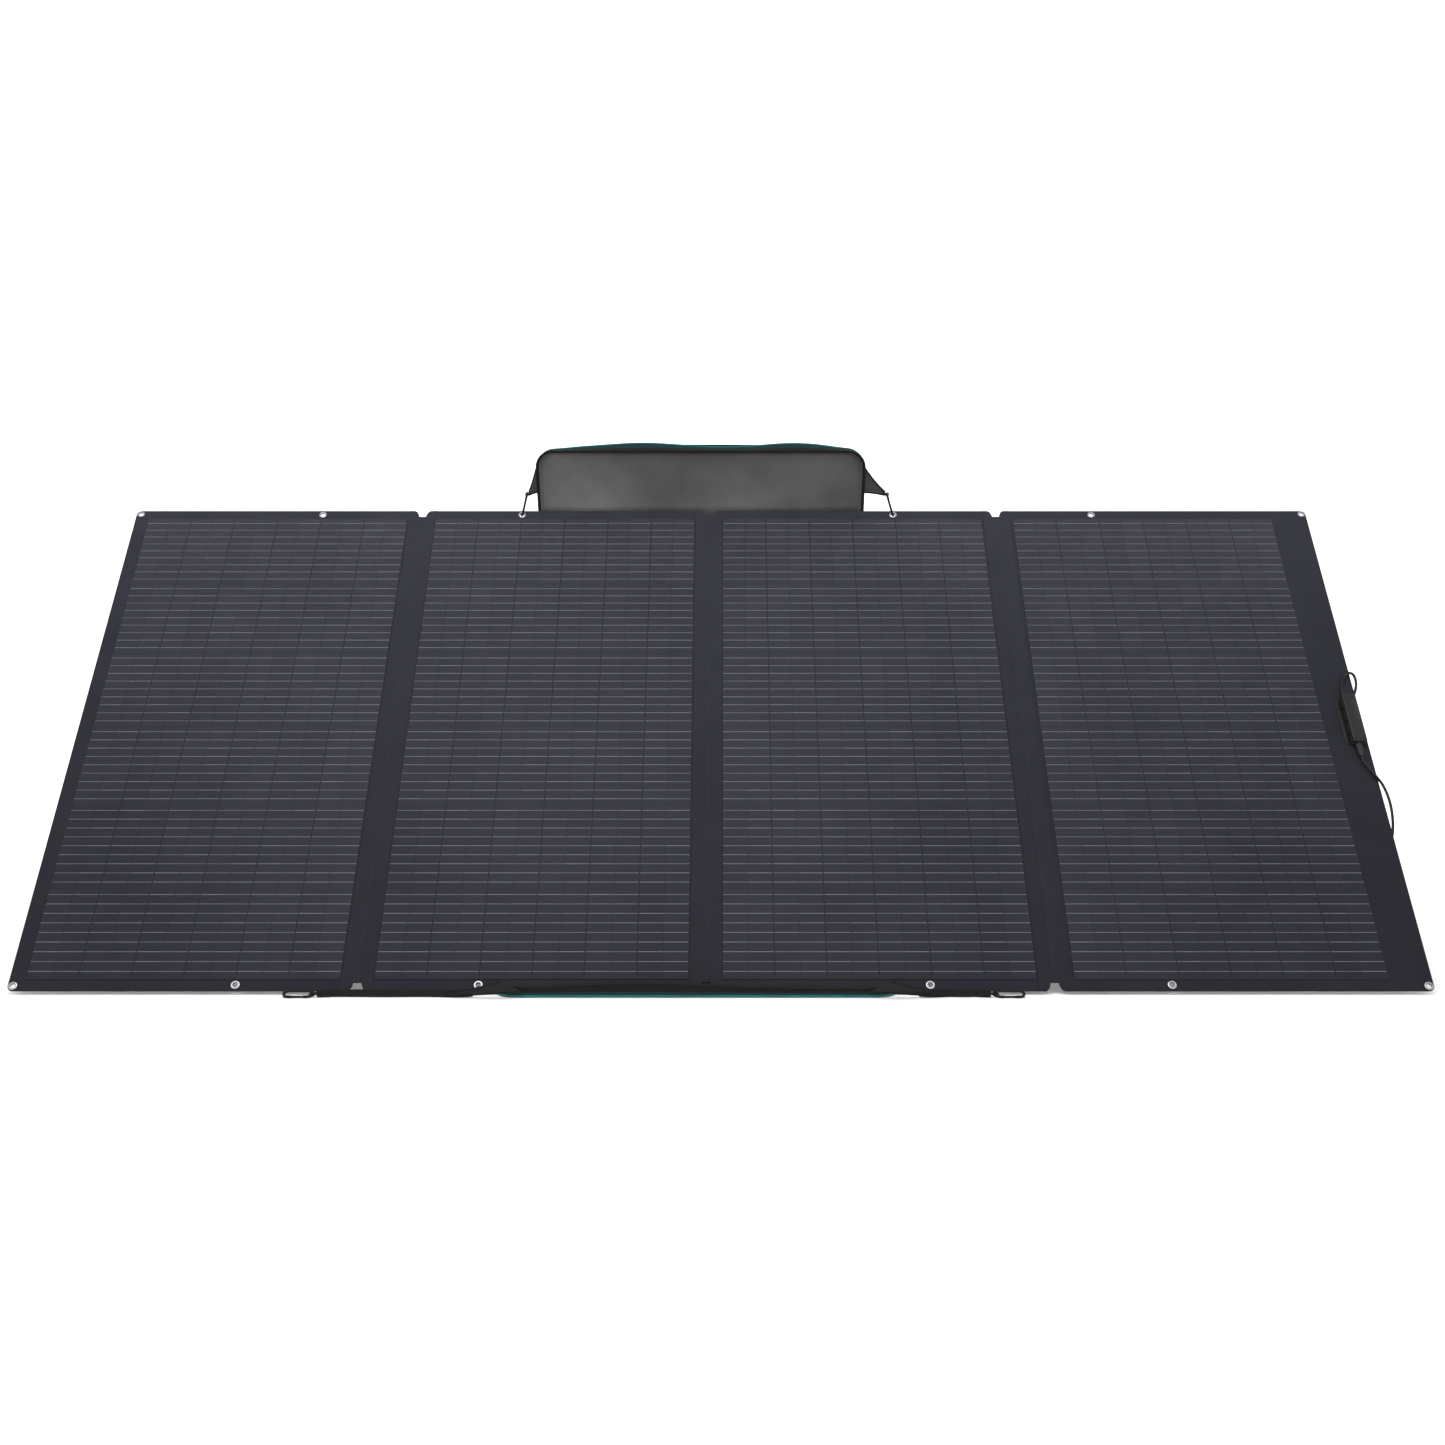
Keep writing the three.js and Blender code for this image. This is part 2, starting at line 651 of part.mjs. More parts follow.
function sheet(inset) {
  const halfWidth = CASE_WIDTH / 2 - inset;
  const farEnd = HALF_LENGTH - inset;
  const r = CASE_CORNER - inset;
  const outline = new THREE.Shape();
  outline.moveTo(-halfWidth, HALF_START);
  outline.lineTo(halfWidth, HALF_START);
  outline.lineTo(halfWidth, farEnd - r);
  outline.absarc(halfWidth - r, farEnd - r, r, 0, Math.PI / 2);
  outline.lineTo(-halfWidth + r, farEnd);
  outline.absarc(-halfWidth + r, farEnd - r, r, Math.PI / 2, Math.PI);
  return outline;
}

// where the blanket's bottom edge presses the ground half's side walls down
function blanketNotch() {
  const sill = HALF_DEPTH - (BOTTOM_LIFT - RIM_OFF_BLANKET);
  const front = HALF_LENGTH - WALL;
  return slabAlongX(
    outlineOf([
      [front, -2],
      [front, 0],
      [HINGE_Y + 1, sill],
      [HINGE_Y - 1, sill],
      [HINGE_Y - 10.5, 0],
      [HINGE_Y - 10.5, -2],
    ]),
    -CASE_WIDTH,
    CASE_WIDTH,
  );
}

function half(parent, place, notched) {
  const wall = slab(band(CASE_WIDTH / 2, HALF_LENGTH, CASE_CORNER, WALL), 0, HALF_DEPTH);
  const tapeReach = GAP + ZIP_TAPE;
  const tape = slab(
    band(CASE_WIDTH / 2 + tapeReach, HALF_LENGTH + tapeReach, CASE_CORNER + tapeReach, ZIP_TAPE),
    TAPE_FROM,
    TAPE_TO,
  );
  piece(parent, `${place}_wall`, notched ? cut(wall, blanketNotch()) : wall, WALL_FABRIC);
  piece(parent, `${place}_zip_tape`, notched ? cut(tape, blanketNotch()) : tape, TAPE_FABRIC);
  const boardTop = HALF_DEPTH - BOARD;
  piece(parent, `${place}_board`, slab(sheet(WALL + GAP), boardTop, HALF_DEPTH), CASE_FABRIC);
  const liningOut = boardTop - GAP;
  const lining = slab(sheet(WALL + GAP + 0.3), liningOut - LINING, liningOut);
  piece(parent, `${place}_lining`, lining, LINING_FABRIC);
}

const groundHalf = new THREE.Group();
groundHalf.position.set(CASE_CENTRE_X, HINGE_Y, HINGE_Z);
groundHalf.rotation.set(Math.PI, 0, 0);
part.add(groundHalf);
half(groundHalf, "base", true);

// the standing half leans forward to the blanket's top edge; its frame's x runs to the left
const standingHalf = new THREE.Group();
standingHalf.position.set(CASE_CENTRE_X, HINGE_Y, HINGE_Z);
standingHalf.rotation.set(-BACK_ANGLE, 0, Math.PI);
part.add(standingHalf);
half(standingHalf, "back", false);

// the fabric spine between the halves: a channel around the hinge axis
function spine() {
  const reach = HALF_START - 0.5;
  const inner = reach - SPINE_SKIN;
  const outer = HALF_DEPTH - GAP;
  const channel = outlineOf([
    [-reach, SPINE_EDGE],
    [-inner, SPINE_EDGE],
    [-inner, outer - SPINE_SKIN],
    [inner, outer - SPINE_SKIN],
    [inner, SPINE_EDGE],
    [reach, SPINE_EDGE],
    [reach, outer],
    [-reach, outer],
  ]);
  return slabAlongX(channel, -CASE_WIDTH / 2 + WALL, CASE_WIDTH / 2 - WALL);
}

piece(groundHalf, "spine", spine(), WALL_FABRIC);

// a corner tab of the standing half: a triangle of cloth that ends beside its carabiner
function hookTab(place, side, eyeletX, turn) {
  const root = side * (TAPE_FACE + 0.4);
  const reach = HOOK_RADIUS + (HOOK_STRAIGHT + HOOK_RADIUS) * Math.cos(lean);
  const inwards = reach * Math.sin(THREE.MathUtils.degToRad(turn));
  const toHook = Math.abs(fromLeft(eyeletX) - CASE_CENTRE_X) - inwards;
  const tip = side * (toHook - HOOK_ROD - HOOKED_TAB_CLEARANCE);
  const corners = [
    [root, TAB_ROOT_FROM, TAB_ROOT_Z],
    [root, TAB_ROOT_TO, TAB_ROOT_Z],
    [tip, TAB_TIP_Y, TAB_TIP_Z],
  ];
  piece(standingHalf, `tab_${place}`, flap(corners, 1.2), TAB_FABRIC);
}

hookTab("top_left", 1, EYELET_X[2], LEFT_HOOK_TURN);
hookTab("top_right", -1, EYELET_X[3], RIGHT_HOOK_TURN);

// a webbing grip on a half's side wall, drawn as an arch and thickened across the webbing
const GRIP_LENGTH = 160;
const GRIP_REACH = 38;
const GRIP_THICKNESS = 3;
const GRIP_WIDTH = 10.5;

function gripArch() {
  const outer = new THREE.Shape();
  const end = GRIP_LENGTH / 2;
  outer.moveTo(0, -end);
  outer.bezierCurveTo(GRIP_REACH, -end, GRIP_REACH, -end + 12, GRIP_REACH, 0);
  outer.bezierCurveTo(GRIP_REACH, end - 12, GRIP_REACH, end, 0, end);
  outer.lineTo(0, end - GRIP_THICKNESS);
  const inner = GRIP_REACH - GRIP_THICKNESS;
  outer.bezierCurveTo(inner, end - GRIP_THICKNESS, inner, end - 15, inner, 0);
  outer.bezierCurveTo(inner, -end + 15, inner, -end + GRIP_THICKNESS, 0, -end + GRIP_THICKNESS);
  return slab(outer, 0, GRIP_WIDTH, 6);
}

const gripMiddle = HALF_LENGTH / 2;
const gripRoot = TAPE_FACE + 0.5;
const baseGrip = piece(groundHalf, "base_handle", gripArch(), WEBBING);
baseGrip.position.set(gripRoot, gripMiddle, HALF_DEPTH - GRIP_WIDTH - 0.6);
const backGrip = piece(standingHalf, "back_handle", gripArch(), WEBBING);
backGrip.rotation.set(0, Math.PI / 2, 0);
backGrip.position.set(-gripRoot - GRIP_WIDTH, gripMiddle, HALF_DEPTH - 6);

// zip sliders, parked beside the spine on the rim of the ground half
function zipSlider(side) {
  const face = side * (TAPE_FACE + GAP);
  const out = side * (TAPE_FACE + GAP + 5);
  const pull = side * (TAPE_FACE + GAP + 3);
  const between = (a, b) => [Math.min(a, b), Math.max(a, b)];
  return join(
    block(...between(face, out), 34, 50, -0.3, 5.7),
    block(...between(pull, pull + side * 1.6), 46, 74, 0.5, 5),
  );
}

piece(groundHalf, "zip_slider_left", zipSlider(-1), ZIP_METAL);
piece(groundHalf, "zip_slider_right", zipSlider(1), ZIP_METAL);

export default part;
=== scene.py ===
"""A folding solar blanket in four sections, leaning on its opened carry case.

Lengths inside the forms are millimetres, in the frame of the blanket or of a case half.
Everything that reaches Blender is in metres, in the part's own frame.
"""

from math import asin, atan2, copysign, cos, exp, hypot, pi, radians, sin, sqrt, tau

import bmesh
import bpy
from mathutils import Matrix, Vector, noise


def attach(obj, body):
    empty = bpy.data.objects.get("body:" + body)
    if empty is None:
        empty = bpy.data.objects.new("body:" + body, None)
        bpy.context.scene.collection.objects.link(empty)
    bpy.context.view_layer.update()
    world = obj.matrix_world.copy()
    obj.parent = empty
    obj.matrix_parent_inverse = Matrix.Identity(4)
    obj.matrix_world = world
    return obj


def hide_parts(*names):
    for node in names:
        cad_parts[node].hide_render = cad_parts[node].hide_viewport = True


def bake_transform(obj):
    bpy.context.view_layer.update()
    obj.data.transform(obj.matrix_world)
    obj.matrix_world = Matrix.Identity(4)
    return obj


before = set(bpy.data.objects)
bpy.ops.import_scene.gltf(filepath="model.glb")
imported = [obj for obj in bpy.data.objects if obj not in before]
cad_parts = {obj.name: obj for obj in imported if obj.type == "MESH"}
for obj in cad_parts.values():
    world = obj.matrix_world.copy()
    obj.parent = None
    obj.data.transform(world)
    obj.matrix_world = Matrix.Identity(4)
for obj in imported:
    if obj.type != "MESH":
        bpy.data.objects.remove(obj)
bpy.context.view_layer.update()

# ---- the frames of the part ----

TILT = radians(54.1)
BLANKET_WIDTH = 2365
BLANKET_HEIGHT = 1060
BOTTOM_LIFT = 5.8
FOLDS = [579, 1158, 1737]
SECTION_BODIES = ["panel_1", "panel_2", "panel_3", "panel_4"]
CELL_LEFTS = [27, 606, 1185, 1770]
CELL_BLOCK = 523
CELL_BOTTOM = 20
CELL_TOP = 1038
COLUMNS = 12
COLUMN = CELL_BLOCK / COLUMNS
ROW_PITCH = 169.2
BUSBAR_PITCH = 18.1
TOP_BUSBAR = 1005.5
ROW_SEAM = 2.5  # the lowest seam between rows, from the cells' lower edge
BUSBAR_START = 5.7
CASE_X = -41
HINGE_Y = 1058
HALF_DEPTH = 18
HALF_WIDTH = 328.5
HALF_START = 7
HALF_END = 1080.5
CASE_CORNER = 35

MM = Matrix.Scale(0.001, 4)
BLANKET = Matrix.Translation((0, 0, BOTTOM_LIFT / 1000)) @ Matrix.Rotation(TILT, 4, "X") @ MM
HINGE = Matrix.Translation((CASE_X / 1000, HINGE_Y / 1000, HALF_DEPTH / 1000))
top_y = BLANKET_HEIGHT * cos(TILT)
top_z = BOTTOM_LIFT + BLANKET_HEIGHT * sin(TILT)
to_top = hypot(HINGE_Y - top_y, top_z - HALF_DEPTH)
BACK_ANGLE = atan2(top_z - HALF_DEPTH, HINGE_Y - top_y) + asin(0.5 / to_top)
GROUND_HALF = HINGE @ Matrix.Rotation(pi, 4, "X") @ MM
STANDING_HALF = HINGE @ Matrix.Rotation(-BACK_ANGLE, 4, "X") @ Matrix.Rotation(pi, 4, "Z") @ MM


def from_left(x):
    return x - BLANKET_WIDTH / 2


def on_blanket(x, v, w):
    cosine, sine = cos(TILT), sin(TILT)
    return Vector((x, v * cosine - w * sine, BOTTOM_LIFT + v * sine + w * cosine))


def smooth(t):
    t = max(0.0, min(1.0, t))
    return t * t * (3 - 2 * t)


def put(name, data):
    """Adds an object to the scene."""
    made = bpy.data.objects.new(name, data)
    bpy.context.scene.collection.objects.link(made)
    return made


# ---- camera, light and floor ----

view = bpy.data.cameras.new("camera")
view.lens = 40.3
view.sensor_width = 36
camera = put("camera", view)
camera.location = (0.0027, -2.668, 0.512)
camera.rotation_euler = (radians(90 - 1.3), 0, 0)
bpy.context.scene.camera = camera
bpy.context.scene.view_settings.view_transform = "Standard"


def area_light(name, place, aim, size, power):
    data = bpy.data.lights.new(name, "AREA")
    data.shape = "RECTANGLE"
    data.size, data.size_y = size
    data.energy = power
    lamp = put(name, data)
    lamp.location = place
    lamp.rotation_euler = (Vector(aim) - Vector(place)).to_track_quat("-Z", "Y").to_euler()


area_light("key", (-0.5, -1.7, 3.5), (-0.1, 0.6, 1.0), (2.6, 2.0), 85)
area_light("fill", (1.2, -4.2, 3.0), (0, 0.2, 0.9), (3.0, 2.0), 22)
area_light("back_wall", (0, 2.6, 3.4), (0, 5.2, 1.2), (6.0, 1.6), 160)

world = bpy.data.worlds.new("studio")
bpy.context.scene.world = world
world.use_nodes = True
world.node_tree.nodes["Background"].inputs["Color"].default_value = (1, 1, 1, 1)
world.node_tree.nodes["Background"].inputs["Strength"].default_value = 0.85

# ---- materials ----

CLOTH_MAP = "cloth"  # every form's own coordinates, in millimetres
# Painted shade: the laminate's and cells' colour is darkened towards the blanket's lower edge.
SHADED_EDGE_STRENGTH = 0.62  # how much of its strength the laminate's colour keeps at the lower edge


def linear(red, green, blue):
    def one(value):
        value /= 255
        return value / 12.92 if value <= 0.04045 else ((value + 0.055) / 1.055) ** 2.4

    return (one(red), one(green), one(blue), 1)


def shade(colour, factor):
    return tuple(min(255, channel * factor) for channel in colour)


class Look:
    """A Principled material and short ways to add nodes to it."""

    def __init__(self, name, colour, roughness, specular=0.5, **shader):
        self.material = bpy.data.materials.new(name)
        self.material.use_nodes = True
        self.tree = self.material.node_tree
        self.shader = self.tree.nodes["Principled BSDF"]
        self.shader.inputs["Base Color"].default_value = linear(*colour)
        self.shader.inputs["Roughness"].default_value = roughness
        self.shader.inputs["Specular IOR Level"].default_value = specular
        for socket, value in shader.items():
            self.shader.inputs[socket.replace("_", " ")].default_value = value

    def node(self, kind, inputs=None, **settings):
        made = self.tree.nodes.new("ShaderNode" + kind)
        for key, value in settings.items():
            setattr(made, key, value)
        for key, value in (inputs or {}).items():
            if isinstance(value, bpy.types.NodeSocket):
                self.tree.links.new(value, made.inputs[key])
            else:
                made.inputs[key].default_value = value
        return made

    def calc(self, operation, first, second=0.0, third=0.0):
        return self.node("Math", {0: first, 1: second, 2: third}, operation=operation).outputs[0]

    def times(self, first, second):
        return self.calc("MULTIPLY", first, second)

    def scaled(self, value, by, plus):
        return self.calc("MULTIPLY_ADD", value, by, plus)

    def cell(self, along, pitch):
        """Which step of a pitch a coordinate is in."""
        return self.calc("FLOOR", self.calc("DIVIDE", along, pitch))

    def ridges(self, along, pitch):
        return self.calc("ABSOLUTE", self.calc("SINE", self.times(along, pi / pitch)))

    def cloth(self):
        """Coordinates in millimetres along the piece's own cloth."""
        split = self.node("SeparateXYZ", {0: self.node("UVMap", uv_map=CLOTH_MAP).outputs[0]})
        return split.outputs[0], split.outputs[1]

    def place(self, turn=0.0):
        """The rest position, in millimetres, turned about X."""
        inputs = {"Vector": self.node("TexCoord").outputs["Object"]}
        inputs |= {"Rotation": (turn, 0, 0), "Scale": (1000, 1000, 1000)}
        return self.node("Mapping", inputs, vector_type="POINT").outputs[0]

    def noise(self, size, detail=3.0, roughness=0.55):
        """Smooth noise from 0 to 1 with features about size millimetres across."""
        inputs = {"Vector": self.place(), "Scale": 1 / size, "Detail": detail}
        return self.node("TexNoise", {**inputs, "Roughness": roughness}).outputs[0]

    def chance(self, u, v):
        """One random value for each whole u and v."""
        which = self.node("CombineXYZ", {0: u, 1: v, 2: 0.5}).outputs[0]
        return self.node("TexWhiteNoise", {"Vector": which}, noise_dimensions="3D").outputs[0]

    def spread(self, value, low, high, source_low=0.3, source_high=0.7):
        ends = {0: value, 1: source_low, 2: source_high, 3: low, 4: high}
        return self.node("MapRange", ends).outputs[0]

    def mix(self, factor, first, second, blend="MIX"):
        inputs = {0: factor, 6: first, 7: second}
        return self.node("Mix", inputs, data_type="RGBA", blend_type=blend).outputs[2]

    def between(self, patches, low, high):
        return self.mix(self.spread(patches, 0, 1), linear(*low), linear(*high))

    def toned(self, colour, tone):
        grey = self.node("CombineColor", {0: tone, 1: tone, 2: tone}).outputs[0]
        return self.mix(1.0, colour, grey, "MULTIPLY")

    def shade_towards_zero(self, colour, along, end):
        """A colour at its full strength at the end, and darkest at zero: painted shade."""
        rise = self.calc("POWER", self.spread(along, 0, 1, 0, end), 1.8)
        return self.toned(colour, self.scaled(rise, 1 - SHADED_EDGE_STRENGTH, SHADED_EDGE_STRENGTH))

    def bump(self, height, distance, under=None):
        """Relief from a height of 0 to 1, with its full depth in millimetres."""
        inputs = {"Height": height, "Distance": distance / 1000, "Strength": 1.0}
        if under is not None:
            inputs["Normal"] = under
        return self.node("Bump", inputs).outputs[0]

    def upper(self, u, v, pitch):
        """Which thread of a plain weave is on top, 0 or 1."""
        step = self.calc("ADD", self.cell(u, pitch), self.cell(v, pitch))
        return self.calc("FLOORED_MODULO", step, 2.0)

    def weave(self, u, v, pitch):
        """The relief of a plain weave."""
        across, along = self.ridges(u, pitch), self.ridges(v, pitch)
        return self.scaled(self.upper(u, v, pitch), self.calc("SUBTRACT", along, across), across)

    def finished(self, colour, roughness=None, normal=None):
        for socket, value in (("Base Color", colour), ("Roughness", roughness), ("Normal", normal)):
            if value:
                self.tree.links.new(value, self.shader.inputs[socket])
        return self.material


def fabric(name, colour, pitch, sheen, roughness=0.85, relief=0.12, variation=0.1, wear=0.0):
    """Woven cloth: threads with painted shade in their hollows, a few uneven patches, and worn threads
    where asked for.
    """
    look = Look(name, colour, roughness, 0.25, Sheen_Weight=sheen)
    u, v = look.cloth()
    threads, over = look.weave(u, v, pitch), look.upper(u, v, pitch)
    patches = look.noise(45)
    ground = look.between(patches, shade(colour, 1 - variation), shade(colour, 1 + variation))
    # Painted shade: the weave's hollows darker than the threads' crowns; the upper threads differ a
    # little in tone.
    tone = look.times(look.scaled(threads, 0.3, 0.78), look.scaled(over, 0.06, 0.97))
    tone = look.times(tone, look.spread(look.noise(2.5, 2), 0.93, 1.07))
    ground = look.toned(ground, tone)
    if wear:
        rubbed = look.spread(look.noise(18, 5, 0.7), 0, wear, 0.56, 0.72)
        ground = look.mix(rubbed, ground, linear(*shade(colour, 1.9)))
    normal = look.bump(threads, relief, look.bump(look.noise(14, 2), 0.5))
    return look.finished(ground, look.spread(patches, roughness - 0.07, roughness + 0.05), normal)


def webbing(name, colour):
    """Ribbed webbing: cords across, a herringbone of threads and fuzzy edges."""
    look = Look(name, colour, 0.8, 0.25, Sheen_Weight=0.06, Sheen_Roughness=0.4)
    u, v = look.cloth()
    cords = look.ridges(look.scaled(look.calc("PINGPONG", u, 2.0), 0.6, v), 1.6)
    threads = look.weave(u, v, 0.5)
    # Painted shade: the grooves between the cords are darker than the cords' crowns.
    tone = look.times(look.scaled(cords, 0.45, 0.7), look.spread(look.noise(1.5, 2), 0.85, 1.15))
    fuzz = look.spread(look.noise(9, 6, 0.75), 0, 0.3, 0.55, 0.75)
    ground = look.mix(fuzz, look.toned(linear(*colour), tone), linear(*shade(colour, 2.2)))
    normal = look.bump(look.scaled(threads, 0.3, cords), 0.25)
    return look.finished(ground, look.spread(look.noise(20), 0.72, 0.88), normal)


def plastic(name, colour, roughness, specular, grain=0.35, relief=0.03):
    """Moulded plastic with a fine spark-eroded grain, handling marks and dust."""
    look = Look(name, colour, roughness, specular)
    grains = look.noise(grain, 2)
    marks = look.noise(12, 6, 0.7)
    dusty = look.spread(marks, 0, 0.35, 0.55, 0.8)
    ground = look.mix(dusty, linear(*colour), linear(*shade(colour, 1.7)))
    ground = look.toned(ground, look.spread(grains, 0.9, 1.1))
    rough = look.spread(marks, roughness - 0.06, roughness + 0.12)
    return look.finished(ground, rough, look.bump(grains, relief))


def metal(name, colour, roughness, wear=None, metallic=1.0):
    """Metal with fine scratches, smudges and, on a coated one, rubbed spots."""
    look = Look(name, colour, roughness, 0.3, Metallic=metallic)
    smudges = look.noise(5, 4)
    ground = look.between(smudges, shade(colour, 0.88), shade(colour, 1.06))
    if wear:
        rubbed = look.spread(look.noise(1.8, 5, 0.7), 0, 0.8, 0.6, 0.68)
        ground = look.mix(rubbed, ground, linear(*wear))
    rough = look.spread(smudges, roughness - 0.06, roughness + 0.14)
    return look.finished(ground, rough, look.bump(look.noise(0.5, 4, 0.8), 0.02))


def slate(look, patches, small, v, dark, light):
    """The laminate's colour: uneven, and darkened by painted shade towards the blanket's lower edge."""
    ground = look.shade_towards_zero(look.between(patches, dark, light), v, BLANKET_HEIGHT)
    return look.toned(ground, look.spread(small, 0.94, 1.06))


def board_cover():
    """Slate laminate on the front of a section and black woven cloth on its back."""
    look = Look("board_cover", (44, 44, 51), 0.65, 0.06)
    u, v, w = look.node("SeparateXYZ", {0: look.place(turn=-TILT)}).outputs
    lift = BOTTOM_LIFT * cos(TILT)
    front = look.spread(w, 0, 1, lift + 1.4, lift + 1.6)
    threads = look.weave(u, v, 0.9)
    fine = look.weave(u, v, 0.45)
    patches = look.noise(120, 4)
    small = look.noise(6, 4, 0.7)
    # slate paints shade onto the laminate towards the lower edge.
    laminate = slate(look, patches, small, v, (42, 42, 50), (47, 47, 55))
    black = look.between(patches, (18, 18, 20), (26, 26, 28))
    # Painted shade: the back cloth's weave hollows darker than its threads' crowns.
    black = look.toned(black, look.scaled(threads, 0.4, 0.7))
    rough = look.calc("SUBTRACT", look.spread(small, 0.5, 0.62), 0.85)
    height = look.times(threads, look.spread(front, 1, 0, 0, 1))
    normal = look.bump(look.scaled(fine, 0.12, height), 0.12, look.bump(look.noise(70, 2), 0.6))
    return look.finished(look.mix(front, black, laminate), look.scaled(front, rough, 0.85), normal)


def cell_film():
    """Dark cells in columns and rows under a clear dimpled film."""
    look = Look("cell_film", (52, 52, 60), 0.5, 0.06)
    u, v = look.cloth()

    def line(value, pitch, half_width):
        near = look.calc("PINGPONG", value, pitch / 2)
        return look.spread(near, 1, 0, half_width, half_width + 0.3)

    seams = line(u, COLUMN * 2, 0.7)
    half_seams = line(look.calc("ADD", u, COLUMN), COLUMN * 2, 0.4)
    rows = line(look.calc("SUBTRACT", v, ROW_SEAM), ROW_PITCH, 1.5)
    each = look.chance(look.cell(u, COLUMN), look.cell(v, ROW_PITCH))
    cloud = look.noise(28, 5, 0.65)
    cells = look.between(look.noise(160, 5, 0.6), (50, 50, 59), (55, 55, 64))
    tone = look.times(look.spread(each, 0.95, 1.05, 0, 1), look.spread(cloud, 0.94, 1.06))
    # Painted shade: the cells darken towards the film's lower edge.
    cells = look.toned(look.shade_towards_zero(cells, v, CELL_TOP), tone)
    for lines, strength, dark in (
        (seams, 0.6, (30, 31, 38)), (half_seams, 0.4, (34, 35, 42)), (rows, 0.3, (37, 38, 45))
    ):
        cells = look.mix(look.times(lines, strength), cells, linear(*dark))
    cloth = look.node("CombineXYZ", {0: u, 1: v}).outputs[0]
    dimples = look.node("TexVoronoi", {"Vector": cloth, "Scale": 1 / 1.7, "Randomness": 0.25})
    dimple_height = look.spread(dimples.outputs["Distance"], 0, 1, 0.1, 0.6)
    waves = look.bump(look.noise(55, 2), 0.5)
    sunk = look.bump(look.calc("MAXIMUM", seams, rows), 0.12, waves)
    return look.finished(cells, look.spread(cloud, 0.38, 0.52), look.bump(dimple_height, 0.06, sunk))


def busbar_ribs():
    """Tinned wires showing pale through the film, each stretch a little different."""
    look = Look("busbar_ribs", (84, 84, 92), 0.45, 0.3)
    u, v = look.cloth()
    bar = look.cell(look.calc("SUBTRACT", v, BUSBAR_START), BUSBAR_PITCH)
    ground = look.mix(look.chance(look.cell(u, COLUMN), bar), linear(82, 82, 91), linear(106, 106, 115))
    flow = look.noise(30, 4, 0.7)
    ground = look.toned(ground, look.spread(flow, 0.85, 1.12))
    return look.finished(ground, look.spread(flow, 0.34, 0.5), look.bump(look.noise(1.5, 2), 0.02))


def fold_cloth():
    """The laminate where it crosses a fold: the same slate, with crease marks."""
    look = Look("fold_cloth", (46, 46, 53), 0.65, 0.06)
    u, v = look.cloth()
    small = look.noise(6, 4, 0.7)
    fine = look.weave(u, v, 0.45)
    # slate paints shade onto the laminate towards the lower edge.
    laminate = slate(look, look.noise(90, 4), small, v, (44, 44, 52), (48, 48, 56))
    worn = look.spread(look.calc("ABSOLUTE", u), 0.5, 0, 0.2, 1.6)
    worn = look.times(worn, look.spread(look.noise(9, 6), 0, 1, 0.45, 0.7))
    normal = look.bump(fine, 0.02, look.bump(look.noise(7, 4), 0.25))
    ground = look.mix(worn, laminate, linear(56, 56, 62))
    return look.finished(ground, look.spread(small, 0.52, 0.66), normal)


def coated_lining():
    """Smooth grey coated lining with a soft sheen, small creases and scuffs, painted light that makes one
    side lighter than the other, and painted shade in the weave's hollows.
    """
    look = Look("coated_lining", (84, 82, 83), 0.5, 0.35, Sheen_Weight=0.05)
    u, v = look.cloth()
    scuffs = look.noise(20, 6, 0.75)
    threads = look.weave(u, v, 0.55)
    grey = look.between(look.noise(220), (74, 72, 72), (104, 102, 103))
    grey = look.mix(look.spread(scuffs, 0, 0.3, 0.55, 0.75), grey, linear(104, 102, 102))
    # Painted light: lighter towards +x and darker towards -x, as if lit from one side; then painted shade
    # in the weave's hollows.
    tone = look.spread(u, 0.68, 1.14, -HALF_WIDTH, HALF_WIDTH)
    tone = look.times(look.scaled(threads, 0.1, 0.93), tone)
    normal = look.bump(threads, 0.04, look.bump(look.noise(35, 5, 0.6), 1.2))
    return look.finished(look.toned(grey, tone), look.spread(scuffs, 0.42, 0.6), normal)


def circuit_board():
    """Green board with round pads."""
    look = Look("circuit_board", (28, 74, 51), 0.4)
    pads = look.node("TexVoronoi", {"Vector": look.place(), "Scale": 0.25})
    pad = look.spread(pads.outputs["Distance"], 1, 0, 0.2, 0.25)
    green = look.between(look.noise(3), (24, 66, 45), (34, 84, 58))
    ground = look.mix(pad, green, linear(176, 168, 140))
    return look.finished(ground, look.spread(look.noise(2), 0.35, 0.5), look.bump(pad, 0.05))


BOARD_COVER = board_cover()
CELL_FILM = cell_film()
BUSBARS = busbar_ribs()
FOLD_CLOTH = fold_cloth()
LINING = coated_lining()
CIRCUIT = circuit_board()
BACK_CLOTH = fabric("back_cloth", (22, 22, 24), 0.9, sheen=0.04, relief=0.15)
SHELL_CLOTH = fabric("shell_cloth", (13, 40, 43), 0.8, roughness=0.75, sheen=0.04, wear=0.12)
RIM_BINDING = fabric("rim_binding", (14, 14, 15), 0.6, sheen=0.03, relief=0.15, wear=0.15)
TAB_CLOTH = fabric("tab_cloth", (60, 59, 60), 0.7, sheen=0.05, variation=0.14)
GROUND_TAB_CLOTH = fabric("ground_tab_cloth", (33, 29, 31), 0.7, sheen=0.04, variation=0.14)
PIPING_CLOTH = fabric("piping_cloth", (20, 104, 103), 0.5, roughness=0.7, sheen=0.06)
ZIP_TAPE = fabric("zip_tape", (13, 13, 14), 0.5, sheen=0.03, relief=0.1, wear=0.1)
THREAD = fabric("thread", (34, 34, 37), 0.25, sheen=0.05, relief=0.05)
WEBBING = webbing("webbing", (18, 18, 19))
BOX_PLASTIC = plastic("box_plastic", (19, 19, 20), 0.5, 0.35)
GLAND_PLASTIC = plastic("gland_plastic", (34, 34, 36), 0.55, 0.35)
TEETH_PLASTIC = plastic("teeth_plastic", (16, 16, 18), 0.35, 0.4, grain=0.2)
